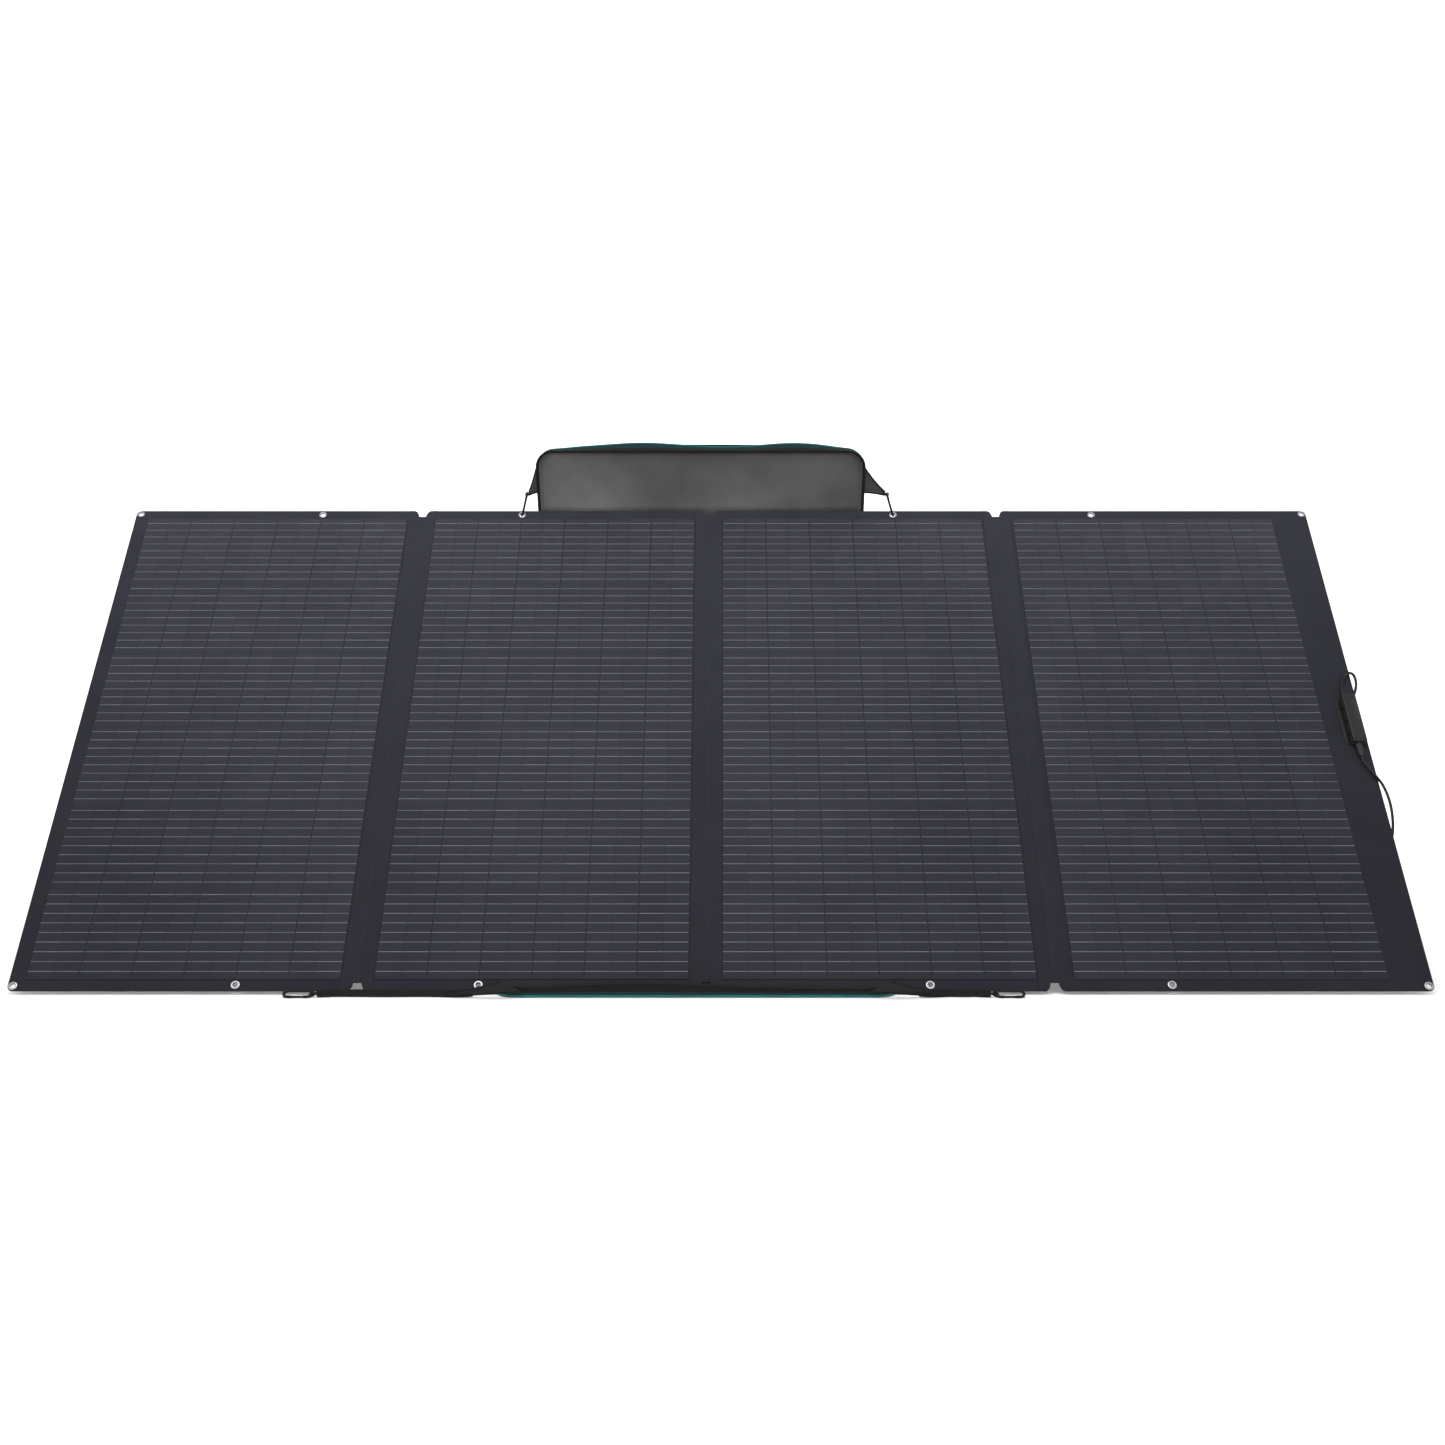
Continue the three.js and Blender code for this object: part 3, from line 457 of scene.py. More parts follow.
CABLE_JACKET = plastic("cable_jacket", (14, 14, 15), 0.5, 0.3, grain=0.6, relief=0.02)
NICKEL = metal("nickel", (165, 166, 170), 0.34)
ANODISED = metal("anodised", (14, 14, 15), 0.5, wear=(34, 34, 36), metallic=0.2)
ZIP_METAL = metal("zip_metal", (50, 51, 54), 0.4, wear=(120, 120, 124))
COPPER = metal("copper", (190, 122, 74), 0.38)


def floor():
    """A pale floor that sweeps up into a backdrop."""
    look = Look("floor_paint", (247, 247, 247), 0.85)
    paint = look.between(look.noise(30, 4), (246, 246, 246), (249, 249, 249))
    profile = [(-6, 0), (3, 0)]
    for step in range(1, 13):
        angle = step / 12 * pi / 2
        profile.append((3 + 2.5 * sin(angle), 2.5 - 2.5 * cos(angle)))
    profile.append((5.5, 8))
    points = [(x, y, z) for y, z in profile for x in (-9, 9)]
    faces = [(i, i + 1, i + 3, i + 2) for i in range(0, len(points) - 2, 2)]
    data = bpy.data.meshes.new("floor")
    data.from_pydata(points, [], faces)
    data.materials.append(look.finished(paint))
    data.shade_smooth()
    put("floor", data)


floor()

# ---- making forms ----

STITCH_PITCH = 4.2
STITCH_FACES = [(0, 1, 2), (0, 2, 3), (0, 3, 1), (7, 5, 4), (7, 6, 5), (7, 4, 6)]
STITCH_FACES += [(1, 4, 5, 2), (2, 5, 6, 3), (3, 6, 4, 1)]


def circle(sides):
    """The cosine and sine at even steps round a circle."""
    return [(cos(step / sides * tau), sin(step / sides * tau)) for step in range(sides)]


def each(value, count):
    """One value for every point of a path."""
    return value if isinstance(value, list) else [value] * count


def way_at(path, i, close=False):
    """The way a path goes at one of its points."""
    if close:
        return path[(i + 1) % len(path)] - path[i - 1]
    return path[min(i + 1, len(path) - 1)] - path[max(i - 1, 0)]


class Form:
    """Points, faces and cloth coordinates, in millimetres."""

    def __init__(self):
        self.points, self.faces, self.cloth = [], [], []

    def loft(self, rings, caps=True, close=False):
        """A skin over closed rings of equally many points."""
        start, count = len(self.points), len(rings[0])
        along = 0.0
        for i, ring in enumerate(rings):
            if i:
                along += (Vector(ring[0]) - Vector(rings[i - 1][0])).length
            around = 0.0
            for k, point in enumerate(ring):
                if k:
                    around += (Vector(point) - Vector(ring[k - 1])).length
                self.points.append(tuple(point))
                self.cloth.append((around, along))
        for i in range(len(rings) if close else len(rings) - 1):
            a, b = start + i * count, start + (i + 1) % len(rings) * count
            for k in range(count):
                n = (k + 1) % count
                self.faces.append((a + k, a + n, b + n, b + k))
        if caps and not close:
            for first in (start, start + (len(rings) - 1) * count):
                for k in range(count // 2 - 1):
                    far = count - 1 - k
                    self.faces.append((first + k, first + k + 1, first + far - 1, first + far))
        return self

    def tube(self, path, radius, sides, close=False):
        """A round tube along a path; radius is one number or one for each point."""
        rings = rings_along(path, each(radius, len(path)), sides, close)
        return self.loft(rings, close=close)

    def box(self, low, high, radius, segments=2, place=None):
        """A box with rounded edges."""
        shape = bmesh.new()
        bmesh.ops.create_cube(shape, size=1)
        for vertex in shape.verts:
            vertex.co = [high[i] if vertex.co[i] > 0 else low[i] for i in range(3)]
        bmesh.ops.bevel(
            shape, geom=shape.edges[:], offset=radius, segments=segments, profile=0.5, affect="EDGES"
        )
        start = len(self.points)
        shape.verts.ensure_lookup_table()
        for vertex in shape.verts:
            self.points.append(tuple(place @ vertex.co if place else vertex.co))
            self.cloth.append((vertex.co.x, vertex.co.y + vertex.co.z))
        for face in shape.faces:
            self.faces.append(tuple(start + vertex.index for vertex in face.verts))
        shape.free()
        return self

    def turned(self, profile, place, segments):
        """A piece turned about Z, from (radius, z) points that meet or end on the axis."""
        rings = [[place @ Vector((r * c, r * s, z)) for r, z in profile] for c, s in circle(segments)]
        return self.loft(rings, close=True)

    def strap(self, path, across, width, thickness):
        """A flat strap along a path; across is its width's way, one or one for each point."""
        path = [Vector(p) for p in path]
        ways, widths, depths = (each(value, len(path)) for value in (across, width, thickness))
        rings = []
        for i, point in enumerate(path):
            way = way_at(path, i).normalized()
            side = Vector(ways[i])
            side = (side - way * side.dot(way)).normalized()
            up = way.cross(side)
            half, rise = widths[i] / 2, depths[i] / 2
            soft = min(rise, half) * 0.55
            outline = [(-half, -rise + soft), (-half + soft, -rise), (0, -rise)]
            outline += [(half - soft, -rise), (half, -rise + soft)]
            outline += [(-a, -b) for a, b in outline]
            rings.append([point + side * a + up * b for a, b in outline])
        return self.loft(rings)

    def blocks(self, path, up, pitch, along, across, height):
        """Small blocks at an even pitch along a path, such as zip teeth."""
        up = Vector(up)
        for point, way in walk(path, pitch):
            side = way.cross(up).normalized() * across / 2
            half = way * along / 2
            rise = up * height / 2
            corners = ((-side, -rise), (side, -rise), (side, rise), (-side, rise))
            self.loft([[point + end + s + r for s, r in corners] for end in (-half, half)])
        return self

    def stitches(self, path, up, pitch=STITCH_PITCH, length=2.9, width=0.55, height=0.35):
        """A row of thread stitches along a path; up is the way off the cloth."""
        up = Vector(up)
        for point, way in walk(path, pitch):
            side = way.cross(up).normalized() * width / 2
            half = way * length / 2
            high, low = up.normalized() * height, up.normalized() * -0.1
            places = [point - half + low]
            for end in (-0.6, 0.6):
                places += [point + half * end + offset for offset in (side + low, high, low - side)]
            places.append(point + half + low)
            start = len(self.points)
            self.points += [tuple(p) for p in places]
            self.cloth += [(0, 0)] * len(places)
            self.faces += [tuple(start + k for k in face) for face in STITCH_FACES]
        return self


def rings_along(path, radii, sides, close):
    """Rings square to a path, turned as little as may be from one to the next."""
    path = [Vector(p) for p in path]
    across = way_at(path, 0, close).normalized().orthogonal().normalized()
    rings = []
    for i, point in enumerate(path):
        way = way_at(path, i, close).normalized()
        across = (across - way * across.dot(way)).normalized()
        other = way.cross(across)
        rings.append([point + (across * c + other * s) * radii[i] for c, s in circle(sides)])
    return rings


def walk(path, pitch):
    """Points at an even pitch along a path, each with the way the path goes there."""
    path = [Vector(p) for p in path]
    places = []
    wanted = pitch / 2
    passed = 0.0
    for a, b in zip(path, path[1:]):
        length = (b - a).length
        if length < 1e-6:
            continue
        way = (b - a) / length
        while wanted <= passed + length:
            places.append((a + way * (wanted - passed), way))
            wanted += pitch
        passed += length
    return places


def make(name, form, place, look, body=None, stands_for=(), sharp=40):
    """Turns a form into a Blender object in the part's frame."""
    data = bpy.data.meshes.new(name)
    data.from_pydata(form.points, [], form.faces)
    data.transform(place)
    layer = data.uv_layers.new(name=CLOTH_MAP)
    for loop in data.loops:
        layer.data[loop.index].uv = form.cloth[loop.vertex_index]
    shape = bmesh.new()
    shape.from_mesh(data)
    bmesh.ops.remove_doubles(shape, verts=shape.verts, dist=1e-7)
    bmesh.ops.recalc_face_normals(shape, faces=shape.faces)
    shape.to_mesh(data)
    shape.free()
    data.materials.append(look)
    data.shade_smooth()
    data.set_sharp_from_angle(angle=radians(sharp))
    made = put(name, data)
    if body:
        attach(made, body)
    if stands_for:
        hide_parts(*stands_for)
    return made


def centripetal(points, steps=10):
    """A smooth line through points, on knots spaced by the root of their distance."""
    points = [Vector(p) for p in points]
    ends = [points[0] * 2 - points[1], *points, points[-1] * 2 - points[-2]]
    line = []
    for p0, p1, p2, p3 in zip(ends, ends[1:], ends[2:], ends[3:]):
        k1 = sqrt((p1 - p0).length)
        k2 = k1 + sqrt((p2 - p1).length)
        k3 = k2 + sqrt((p3 - p2).length)
        for step in range(steps):
            t = k1 + (k2 - k1) * step / steps
            a1 = p0.lerp(p1, t / k1)
            a2 = p1.lerp(p2, (t - k1) / (k2 - k1))
            a3 = p2.lerp(p3, (t - k2) / (k3 - k2))
            b1 = a1.lerp(a2, t / k2)
            b2 = a2.lerp(a3, (t - k1) / (k3 - k1))
            line.append(b1.lerp(b2, (t - k1) / (k2 - k1)))
    line.append(points[-1])
    return line


# ---- the leads, their strain reliefs and connectors ----

LEAD_DIAMETER = 5
CONNECTOR_GRIP = [(0, 0.5), (3.6, 0.5), (4.6, 1.4), (6.4, 4.5), (7.7, 6.5)]
for groove in range(6):
    low = 8.5 + groove * 2.1
    CONNECTOR_GRIP += [(7.7, low), (7.1, low + 0.7), (7.1, low + 1.4), (7.7, low + 2.1)]
CONNECTOR_GRIP += [(7.7, 22.2), (6.6, 23.6), (6.4, 35.6), (7.8, 37), (7.8, 42.6), (7.1, 43.6)]

# Each route starts in the blanket's coordinates and goes on in the part's own.
POSITIVE_ROUTE = [on_blanket(*place) for place in (
    (1157.5, 602.6, 9.8), (1158.5, 616, 9.8), (1165, 634, 10.5), (1177, 648, 9), (1189, 648, 4),
    (1193, 634, -1), (1188, 614, -6), (1180, 600, -10),
)]
POSITIVE_ROUTE += [Vector(place) for place in (
    (1175, 366, 440), (1172, 369, 300), (1170, 368, 150), (1168, 367, 55), (1160, 374, 14),
    (1146, 390, 3), (1110, 424, 3), (1070, 440, 5), (1052, 442, 8.6), (1044, 442, 8.6),
)]
NEGATIVE_ROUTE = [on_blanket(*place) for place in (
    (1161, 460.4, 9.8), (1162, 449, 9.8), (1168, 436, 9.2), (1178.5, 418, 8), (1187, 401, 6),
    (1192.5, 375, 3), (1193.5, 349, -1), (1190.5, 321, -6), (1185, 300, -10),
)]
NEGATIVE_ROUTE += [Vector(place) for place in (
    (1177, 180, 222), (1170, 187, 150), (1165, 189, 60), (1157, 196, 14), (1140, 208, 3),
    (1090, 232, 3), (1030, 246, 3), (965, 240, 3), (905, 224, 5), (886, 220, 8.6), (878, 219, 8.6),
)]


def lead(name, route):
    """The cable itself, its first point and its length."""
    line = [point / 1000 for point in centripetal(route)]
    curve = bpy.data.curves.new(name, "CURVE")
    curve.dimensions = "3D"
    curve.bevel_depth = LEAD_DIAMETER / 2000
    curve.bevel_resolution = 4
    curve.use_fill_caps = True
    spline = curve.splines.new("POLY")
    spline.points.add(len(line) - 1)
    for target, point in zip(spline.points, line):
        target.co = (*point, 1)
    curve.materials.append(CABLE_JACKET)
    made = put(name + "_cable", curve)
    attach(made, "panel_4")
    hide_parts(name)
    return made, line[0], sum((b - a).length for a, b in zip(line, line[1:]))


def looking(place, way):
    """A matrix at a place whose Z goes along way."""
    return Matrix.Translation(place) @ Vector(way).to_track_quat("Z", "Y").to_matrix().to_4x4()


def connector(name, route, length, nose):
    """A round connector: grip ribs, a collar, two latch arms and an open nose."""
    place = looking(route[-1], route[-1] - route[-2])
    profile = CONNECTOR_GRIP + [(nose, 44.2), (nose, length - 0.8), (nose - 0.8, length)]
    profile += [(nose - 1.9, length), (nose - 1.9, length - 7), (0, length - 7)]
    form = Form().turned(profile, place, 36)
    for side in (-1, 1):
        turn = place @ Matrix.Rotation(pi / 2 * side, 4, "Z")
        form.box((5.6, -1.6, 25), (7.3, 1.6, 36), 0.5, place=turn)
        form.box((6.3, -2.2, 38), (8.0, 2.2, 41.6), 0.5, place=turn)
    return make(name + "_body", form, MM, BOX_PLASTIC, "panel_4", [name])


for lead_name, plug_name, route, reach, nose in (
    ("lead_positive", "connector_positive", POSITIVE_ROUTE, 62, 4.0),
    ("lead_negative", "connector_negative", NEGATIVE_ROUTE, 54, 6.5),
):
    cable, exit_point, cable_length = lead(lead_name, route)
    plug = connector(plug_name, route, reach, nose)


def gland(name, x, v, way, profile, ribs):
    """A tapered strain relief with ribs, from the box towards its lead."""
    place = looking(Vector((x, v, 9.8)), (0, way, 0))
    form = Form().turned(profile, place, 28)
    for z, radius in ribs:
        ring = [place @ Vector((radius * c, radius * s, z)) for c, s in circle(28)]
        form.tube(ring, 0.55, 6, close=True)
    make(name + "_relief", form, BLANKET, GLAND_PLASTIC, "panel_4", [name])


gland(
    "gland_bottom", 1161, 486.6, -1,
    [(0, 0), (6.2, 0), (6.2, 6.5), (5.7, 7.2), (5.4, 15), (4.4, 25.4), (3.6, 26), (0, 26)],
    [(2.2, 6.0), (4.6, 6.0), (9.6, 5.5), (12.6, 5.3), (15.6, 5.1), (18.6, 4.8), (21.6, 4.5)],
)
gland(
    "gland_top", 1157.5, 592.4, 1, [(0, 0), (5, 0), (5, 4.4), (4.4, 5), (3.8, 9.4), (3.2, 10), (0, 10)],
    [(1.5, 4.9), (3.3, 4.9), (6.2, 4.2), (7.9, 4.0)],
)

# ---- the blanket's sections ----

RIB_PROFILE = ((-0.65, 4.1), (-0.3, 4.27), (0.3, 4.27), (0.65, 4.1))
FOLD_HALF = 7  # half the gap between two boards
STRIP_HALF = 26.5
SEAM_INSET = 17
FOLD_STEPS = [0.5, 1, 2, 3, 4, 5, 6, 7, 8, 9, 11, 13.5, 16, 18, 22, STRIP_HALF]
FOLD_COLUMNS = [-x for x in reversed(FOLD_STEPS)] + [0] + FOLD_STEPS
FOLD_ROWS = 60
EYELET_INSET = 10.5
CORNER_INSET = 8.5
EYELETS = [(8.5, "panel_1"), (377, "panel_1"), (780, "panel_2")]
EYELETS += [(1530, "panel_3"), (1931, "panel_4"), (2356.5, "panel_4")]
EYELET_PROFILE = [
    (4.5, -0.5), (4.7, -0.9), (5.1, -1.05), (6.7, -1.0), (7.4, -0.75), (7.5, -0.38), (5.3, -0.35),
    (5.3, 3.32), (7.5, 3.34), (7.42, 3.7), (6.8, 4.0), (5.4, 4.12), (4.75, 3.95), (4.5, 3.55),
]


def finish_node(name, look, width):
    """Gives a CAD node its material and softens its edges."""
    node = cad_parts[name]
    node.data.materials.clear()
    node.data.materials.append(look)
    weld = node.modifiers.new("weld", "WELD")
    weld.merge_threshold = 1e-5
    bevel = node.modifiers.new("soften", "BEVEL")
    bevel.width = width / 1000
    bevel.segments = 2
    bevel.limit_method = "ANGLE"
    bevel.angle_limit = radians(40)
    node.modifiers.new("normals", "WEIGHTED_NORMAL")


def cells(number, body):
    """The film over a section's cells, with the wires' ribs on it."""
    left = from_left(CELL_LEFTS[number - 1])
    film = Form().box((left, CELL_BOTTOM, 3.02), (left + CELL_BLOCK, CELL_TOP, 4.15), 0.4, 3)
    ribs = Form()
    for row in range(6):
        for bar in range(9):
            v = TOP_BUSBAR - row * ROW_PITCH - bar * BUSBAR_PITCH
            for column in range(COLUMNS):
                first, last = (0.6, 1.2) if column % 2 else (1.2, 0.6)
                ends = (column * COLUMN + first, (column + 1) * COLUMN - last)
                ribs.loft([[(left + u, CELL_BOTTOM + v + a, w) for a, w in RIB_PROFILE] for u in ends])
    for form in (film, ribs):
        form.cloth = [(x - left, v - CELL_BOTTOM) for x, v, w in form.points]
    node = f"section_{number}_cells"
    make(f"film_{number}", film, BLANKET, CELL_FILM, body, [node])
    make(f"busbars_{number}", ribs, BLANKET, BUSBARS, body)


def notch(x):
    """How far in the blanket's edge is, at x from a fold."""
    x = abs(x)
    if x >= 16:
        return 0.0
    if x <= FOLD_HALF:
        return 15.0
    low, high = 0.0, 1.0
    for _ in range(30):
        t = (low + high) / 2
        reached = (1 - t) ** 2 * 7 + 2 * t * (1 - t) * 9 + t * t * 16
        low, high = (t, high) if reached < x else (low, t)
    return (1 - t) ** 2 * 15 + 2 * t * (1 - t) * 2


def fold_cover(number, front):
    """The cloth over a fold on one face, with its crease."""
    fold = from_left(FOLDS[number - 1])
    rings = []
    for row in range(FOLD_ROWS + 1):
        outer, inner = [], []
        for x in FOLD_COLUMNS:
            edge = notch(x) + 0.6
            v = edge + (BLANKET_HEIGHT - 2 * edge) * row / FOLD_ROWS
            ripple = noise.noise(Vector((x * 0.02 + number * 9, v * 0.013, 3.0)))
            dip = max(0.0, 1 - (x / FOLD_HALF) ** 2)
            crease = exp(-((x / 0.8) ** 2))
            if front:
                w = 3.38 + 0.55 * (abs(x) / STRIP_HALF) ** 1.4
                w -= dip * (0.55 + 0.18 * ripple) + 0.12 * crease
                under = w - 0.3 if abs(x) < FOLD_HALF else 3.03
            else:
                w = -0.36 + dip * (0.22 + 0.08 * ripple) + 0.06 * crease
                under = w + 0.28 if abs(x) < FOLD_HALF else -0.03
            outer.append((fold + x, v, w))
            inner.append((fold + x, v, under))
        rings.append(outer + inner[::-1])
    form = Form().loft(rings)
    form.cloth = [(x - fold, v) for x, v, w in form.points]
    pair = f"{number}_{number + 1}"
    if front:
        name, look, stands_for = f"fold_front_{pair}", FOLD_CLOTH, [f"fold_band_{pair}"]
    else:
        name, look, stands_for = f"fold_back_{pair}", BACK_CLOTH, []
    made = make(name, form, BLANKET, look, None, stands_for, 60)
    across_fold(made)


def across_fold(made):
    """Bakes a piece's placement into its points."""
    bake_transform(made)


def flat_conductor(number):
    """The tinned copper ribbon that crosses inside a fold, in two slit strips."""
    fold = from_left(FOLDS[number - 1])
    form = Form()
    for low, high in ((40.5, 68), (72, 99.5)):
        rings = []
        for step in range(15):
            x = -6.7 + 13.4 * step / 14
            lift = 0.08 * sin(step * 1.35)
            corners = ((low, 0.42), (high, 0.42), (high, 0.7), (low, 0.7))
            rings.append([(fold + x, v, w + lift) for v, w in corners])
        form.loft(rings)
    name = f"bus_link_{number}_{number + 1}"
    made = make(f"flat_conductor_{number}", form, BLANKET, COPPER, None, [name])
    across_fold(made)


section_edges = [0, *FOLDS, BLANKET_WIDTH]
for index, section_body in enumerate(SECTION_BODIES):
    finish_node(f"section_{index + 1}_board", BOARD_COVER, 0.7)
    cells(index + 1, section_body)
    left = from_left(section_edges[index]) + (7 if index == 0 else 30)
    right = from_left(section_edges[index + 1]) - (7 if index == 3 else 30)
    low, high = SEAM_INSET, BLANKET_HEIGHT - SEAM_INSET
    rim = [(left, low, 0), (right, low, 0), (right, high, 0), (left, high, 0), (left, low, 0)]
    seam = Form().stitches(rim, (0, 0, -1))
    make(f"back_seam_{index + 1}", seam, BLANKET, THREAD, section_body)

for index in range(3):
    fold_cover(index + 1, True)
    fold_cover(index + 1, False)
    flat_conductor(index + 1)

for index, (x, eyelet_body) in enumerate(EYELETS):
    inset = CORNER_INSET if index in (0, 5) else EYELET_INSET
    for edge, v in (("bottom", inset), ("top", BLANKET_HEIGHT - inset)):
        ring = Form().turned(EYELET_PROFILE, Matrix.Translation((from_left(x), v, 0)), 40)
        name, node = f"ring_{edge}_{index + 1}", f"eyelet_{edge}_{index + 1}"
        make(name, ring, BLANKET, NICKEL, eyelet_body, [node])

# ---- the junction box ----

BOX_X = from_left(2332)
BOX_V = 487
BOX_WIDTH = 26
BOX_LENGTH = 105


def carve(made, low, high):
    """Takes a box-shaped hollow out of a piece of the blanket."""
    tool = make("carving_tool", Form().box(low, high, 0.8), BLANKET, BOX_PLASTIC)
    cutting = made.modifiers.new("hollow", "BOOLEAN")
    cutting.object = tool
    cutting.operation = "DIFFERENCE"
    cutting.solver = "EXACT"
    shown = made.evaluated_get(bpy.context.evaluated_depsgraph_get())
    hollowed = bpy.data.meshes.new_from_object(shown)
    made.modifiers.clear()
    made.data = hollowed
    bpy.data.objects.remove(tool)


def hollow_part(name, low, high, radius, hollows):
    """The box's foot or lid: low and high are its faces' heights, and each hollow a box."""
    near, far = (BOX_X, BOX_V, low), (BOX_X + BOX_WIDTH, BOX_V + BOX_LENGTH, high)
    made = make(f"box_{name}", Form().box(near, far, radius, 4), BLANKET, BOX_PLASTIC)
    for x0, v0, w0, x1, v1, w1 in hollows:
        carve(made, (BOX_X + x0, BOX_V + v0, w0), (BOX_X + x1, BOX_V + v1, w1))
    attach(made, "panel_4")
    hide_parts(f"junction_box_{name}")


def screw(form, x, v, w, r):
    """A pan-head screw, proud of a face."""
    profile = [(0, -0.2), (r, -0.2), (r, 0.25), (r * 0.8, 0.7), (0.6, 0.85), (0, 0.85)]
    form.turned(profile, Matrix.Translation((x, v, w)), 20)


hollow_part("base", 3.3, 12, 2.2, [(2, 2, 5.3, 24, 103, 14)])
flange = Form().box((BOX_X - 8, BOX_V + 4, 3.2), (BOX_X + 0.4, BOX_V + 101, 5.0), 0.7, 3)
for step in range(9):
    v = BOX_V + 12 + step * 10
    flange.box((BOX_X - 4.4, v - 0.6, 4.6), (BOX_X + 0.3, v + 0.6, 6.6), 0.4)
make("box_flange", flange, BLANKET, BOX_PLASTIC, "panel_4")

hollow_part("lid", 12.3, 21, 2.4, [(2, 2, 9, 24, 103, 18), (4.5, 13, 20.4, 21.5, 92, 23)])
screws = Form()
for x in (BOX_X + 5.5, BOX_X + 20.5):
    for v in (BOX_V + 6.8, BOX_V + 98.2):
        screw(screws, x, v, 21, 1.9)
for v in (BOX_V + 9, BOX_V + 96):
    screw(screws, BOX_X - 4.6, v, 5.0, 1.6)
make("box_screws", screws, BLANKET, ZIP_METAL, "panel_4")

clips = Form()
for v in (BOX_V + 24, BOX_V + 52.5, BOX_V + 81):
    for x in (BOX_X - 0.5, BOX_X + 26.3):
        clips.box((x - 0.4, v - 4, 8.5), (x + 0.8, v + 4, 16), 0.4)
make("box_clips", clips, BLANKET, BOX_PLASTIC, "panel_4")
finish_node("diode_board", CIRCUIT, 0.2)

# ---- carabiners ----

BOW = 8  # the radius of each rounded end, to the middle of the rod
BOW_DISTANCE = 30
ROD_RADIUS = 2.4
GATE_RADII = [1.1, 1.8, 2.0, 1.8, 1.8, 2.0, 1.4]
LEAN = radians(40)
HOOK_AXIS = Vector((0, cos(LEAN), sin(LEAN)))
HOOK_FRONT = Vector((0, -sin(LEAN), cos(LEAN)))
GROUND_LEAN = asin(7 / 16)
GROUND_FRONT = Vector((0, -cos(GROUND_LEAN), -sin(GROUND_LEAN)))
HOOK_Z = 2.3 + BOW * sin(GROUND_LEAN)
SWIVELS = {"left": (-672.4, -1), "right": (452.4, 1)}


def bow(centre, start):
    angles = [start + pi * step / 14 for step in range(15)]
    return [(BOW * cos(angle), centre + BOW * sin(angle), 0) for angle in angles]


def carabiner(gateward, lengthwise, first_bow, name, parent, body):
    """A bent rod with a sprung gate, in a frame with y along it and its gate on the +x side."""
    across = Vector(gateward).cross(Vector(lengthwise))
    turned = Matrix((gateward, lengthwise, across)).transposed().to_4x4()
    place = parent @ (Matrix.Translation(first_bow) @ turned)
    path = [(BOW, 24.9, 0), (BOW, 25.5, 0), (BOW, 27.5, 0), *bow(BOW_DISTANCE, 0)]
    path += [(-BOW, 20, 0), (-BOW, 10, 0), *bow(0, pi), (BOW, 2.5, 0), (BOW, 4.4, 0), (BOW, 5.0, 0)]
    radii = [ROD_RADIUS] * len(path)
    radii[0] = radii[-1] = 1.5
    rod = Form().tube(path, radii, 16)
    rod.tube([(BOW, 5.2, z) for z in (-2.5, -2.3, 2.3, 2.5)], [0.6, 0.9, 0.9, 0.6], 12)
    make(f"hook_{name}", rod, place, ANODISED, body, [f"carabiner_{name}"])
    gate_path = [(BOW, y, 0) for y in (5.3, 5.8, 7, 14, 22, 23.6, 24.5)]
    gate, node = Form().tube(gate_path, GATE_RADII, 14), f"gate_{name}"
    make(f"latch_{name}", gate, place, ANODISED, node, [node])
    return place


hooked = {}
for side, x, turn, twist, hook_body in (
    ("left", 780, 18, 18, "panel_2"), ("right", 1530, -22, -19, "panel_3")
):
    slant = Matrix.Rotation(radians(-turn), 3, "Z")
    lengthwise = slant @ HOOK_AXIS
    gateward = Matrix.Rotation(radians(twist), 3, lengthwise) @ (slant @ HOOK_FRONT)
    eyelet = Vector((from_left(x), BLANKET_HEIGHT - EYELET_INSET, 1.5))
    first_bow = eyelet + BOW * (cos(LEAN) * lengthwise - sin(LEAN) * gateward)
    hooked[side] = carabiner(gateward, lengthwise, first_bow, f"top_{side}", BLANKET, hook_body)

for side, (x, outward) in SWIVELS.items():
    first_bow = Vector((x + outward * (BOW + BOW_DISTANCE), -20, HOOK_Z))
    name = f"bottom_{side}"
    carabiner(GROUND_FRONT, Vector((-outward, 0, 0)), first_bow, name, MM, f"hook_{name}")

# ---- the carry case ----

PRESSED_FROM = 1043.5
WALL_TOP = 16.3
FACE = 17.98  # the height of the outer face
FACE_ROUNDING = 1.4
LINING_FLOOR = 13.1
LINING_LOW = 2.2
LINING_HIGH = 15.4
LINING_INSET = 4.5
INNER_CORNER = CASE_CORNER - LINING_INSET
CREASES = [
    (235, 1000, 0.9, 14, 2.6), (-120, 960, -3.5, 16, 3.2), (40, 1030, 4.0, 12, 1.8),
    (-270, 1020, -0.7, 11, 2.6), (-240, 700, 1.5, 20, 2.6), (130, 420, -1.2, 22, 2.8),
]


def case_stations():
    """Places along a half's outer edge with their outward ways, from the hinge on one side."""
    half, end, r = HALF_WIDTH, HALF_END, CASE_CORNER
    side = [HALF_START + (end - r - HALF_START) * (1 - (1 - i / 34) ** 1.5) for i in range(34)]
    stations = [(half, y, 1, 0) for y in side]
    for centre_x, first in ((half - r, 0), (r - half, 90)):
        for step in range(19):
            angle = radians(first + 90 * step / 18)
            c, s = cos(angle), sin(angle)
            stations.append((centre_x + r * c, end - r + r * s, c, s))
        if first == 0:
            stations += [((half - r) * (1 - step / 15), end, 0, 1) for step in range(1, 30)]
    return stations + [(-half, y, -1, 0) for y in reversed(side)]


STATIONS = case_stations()


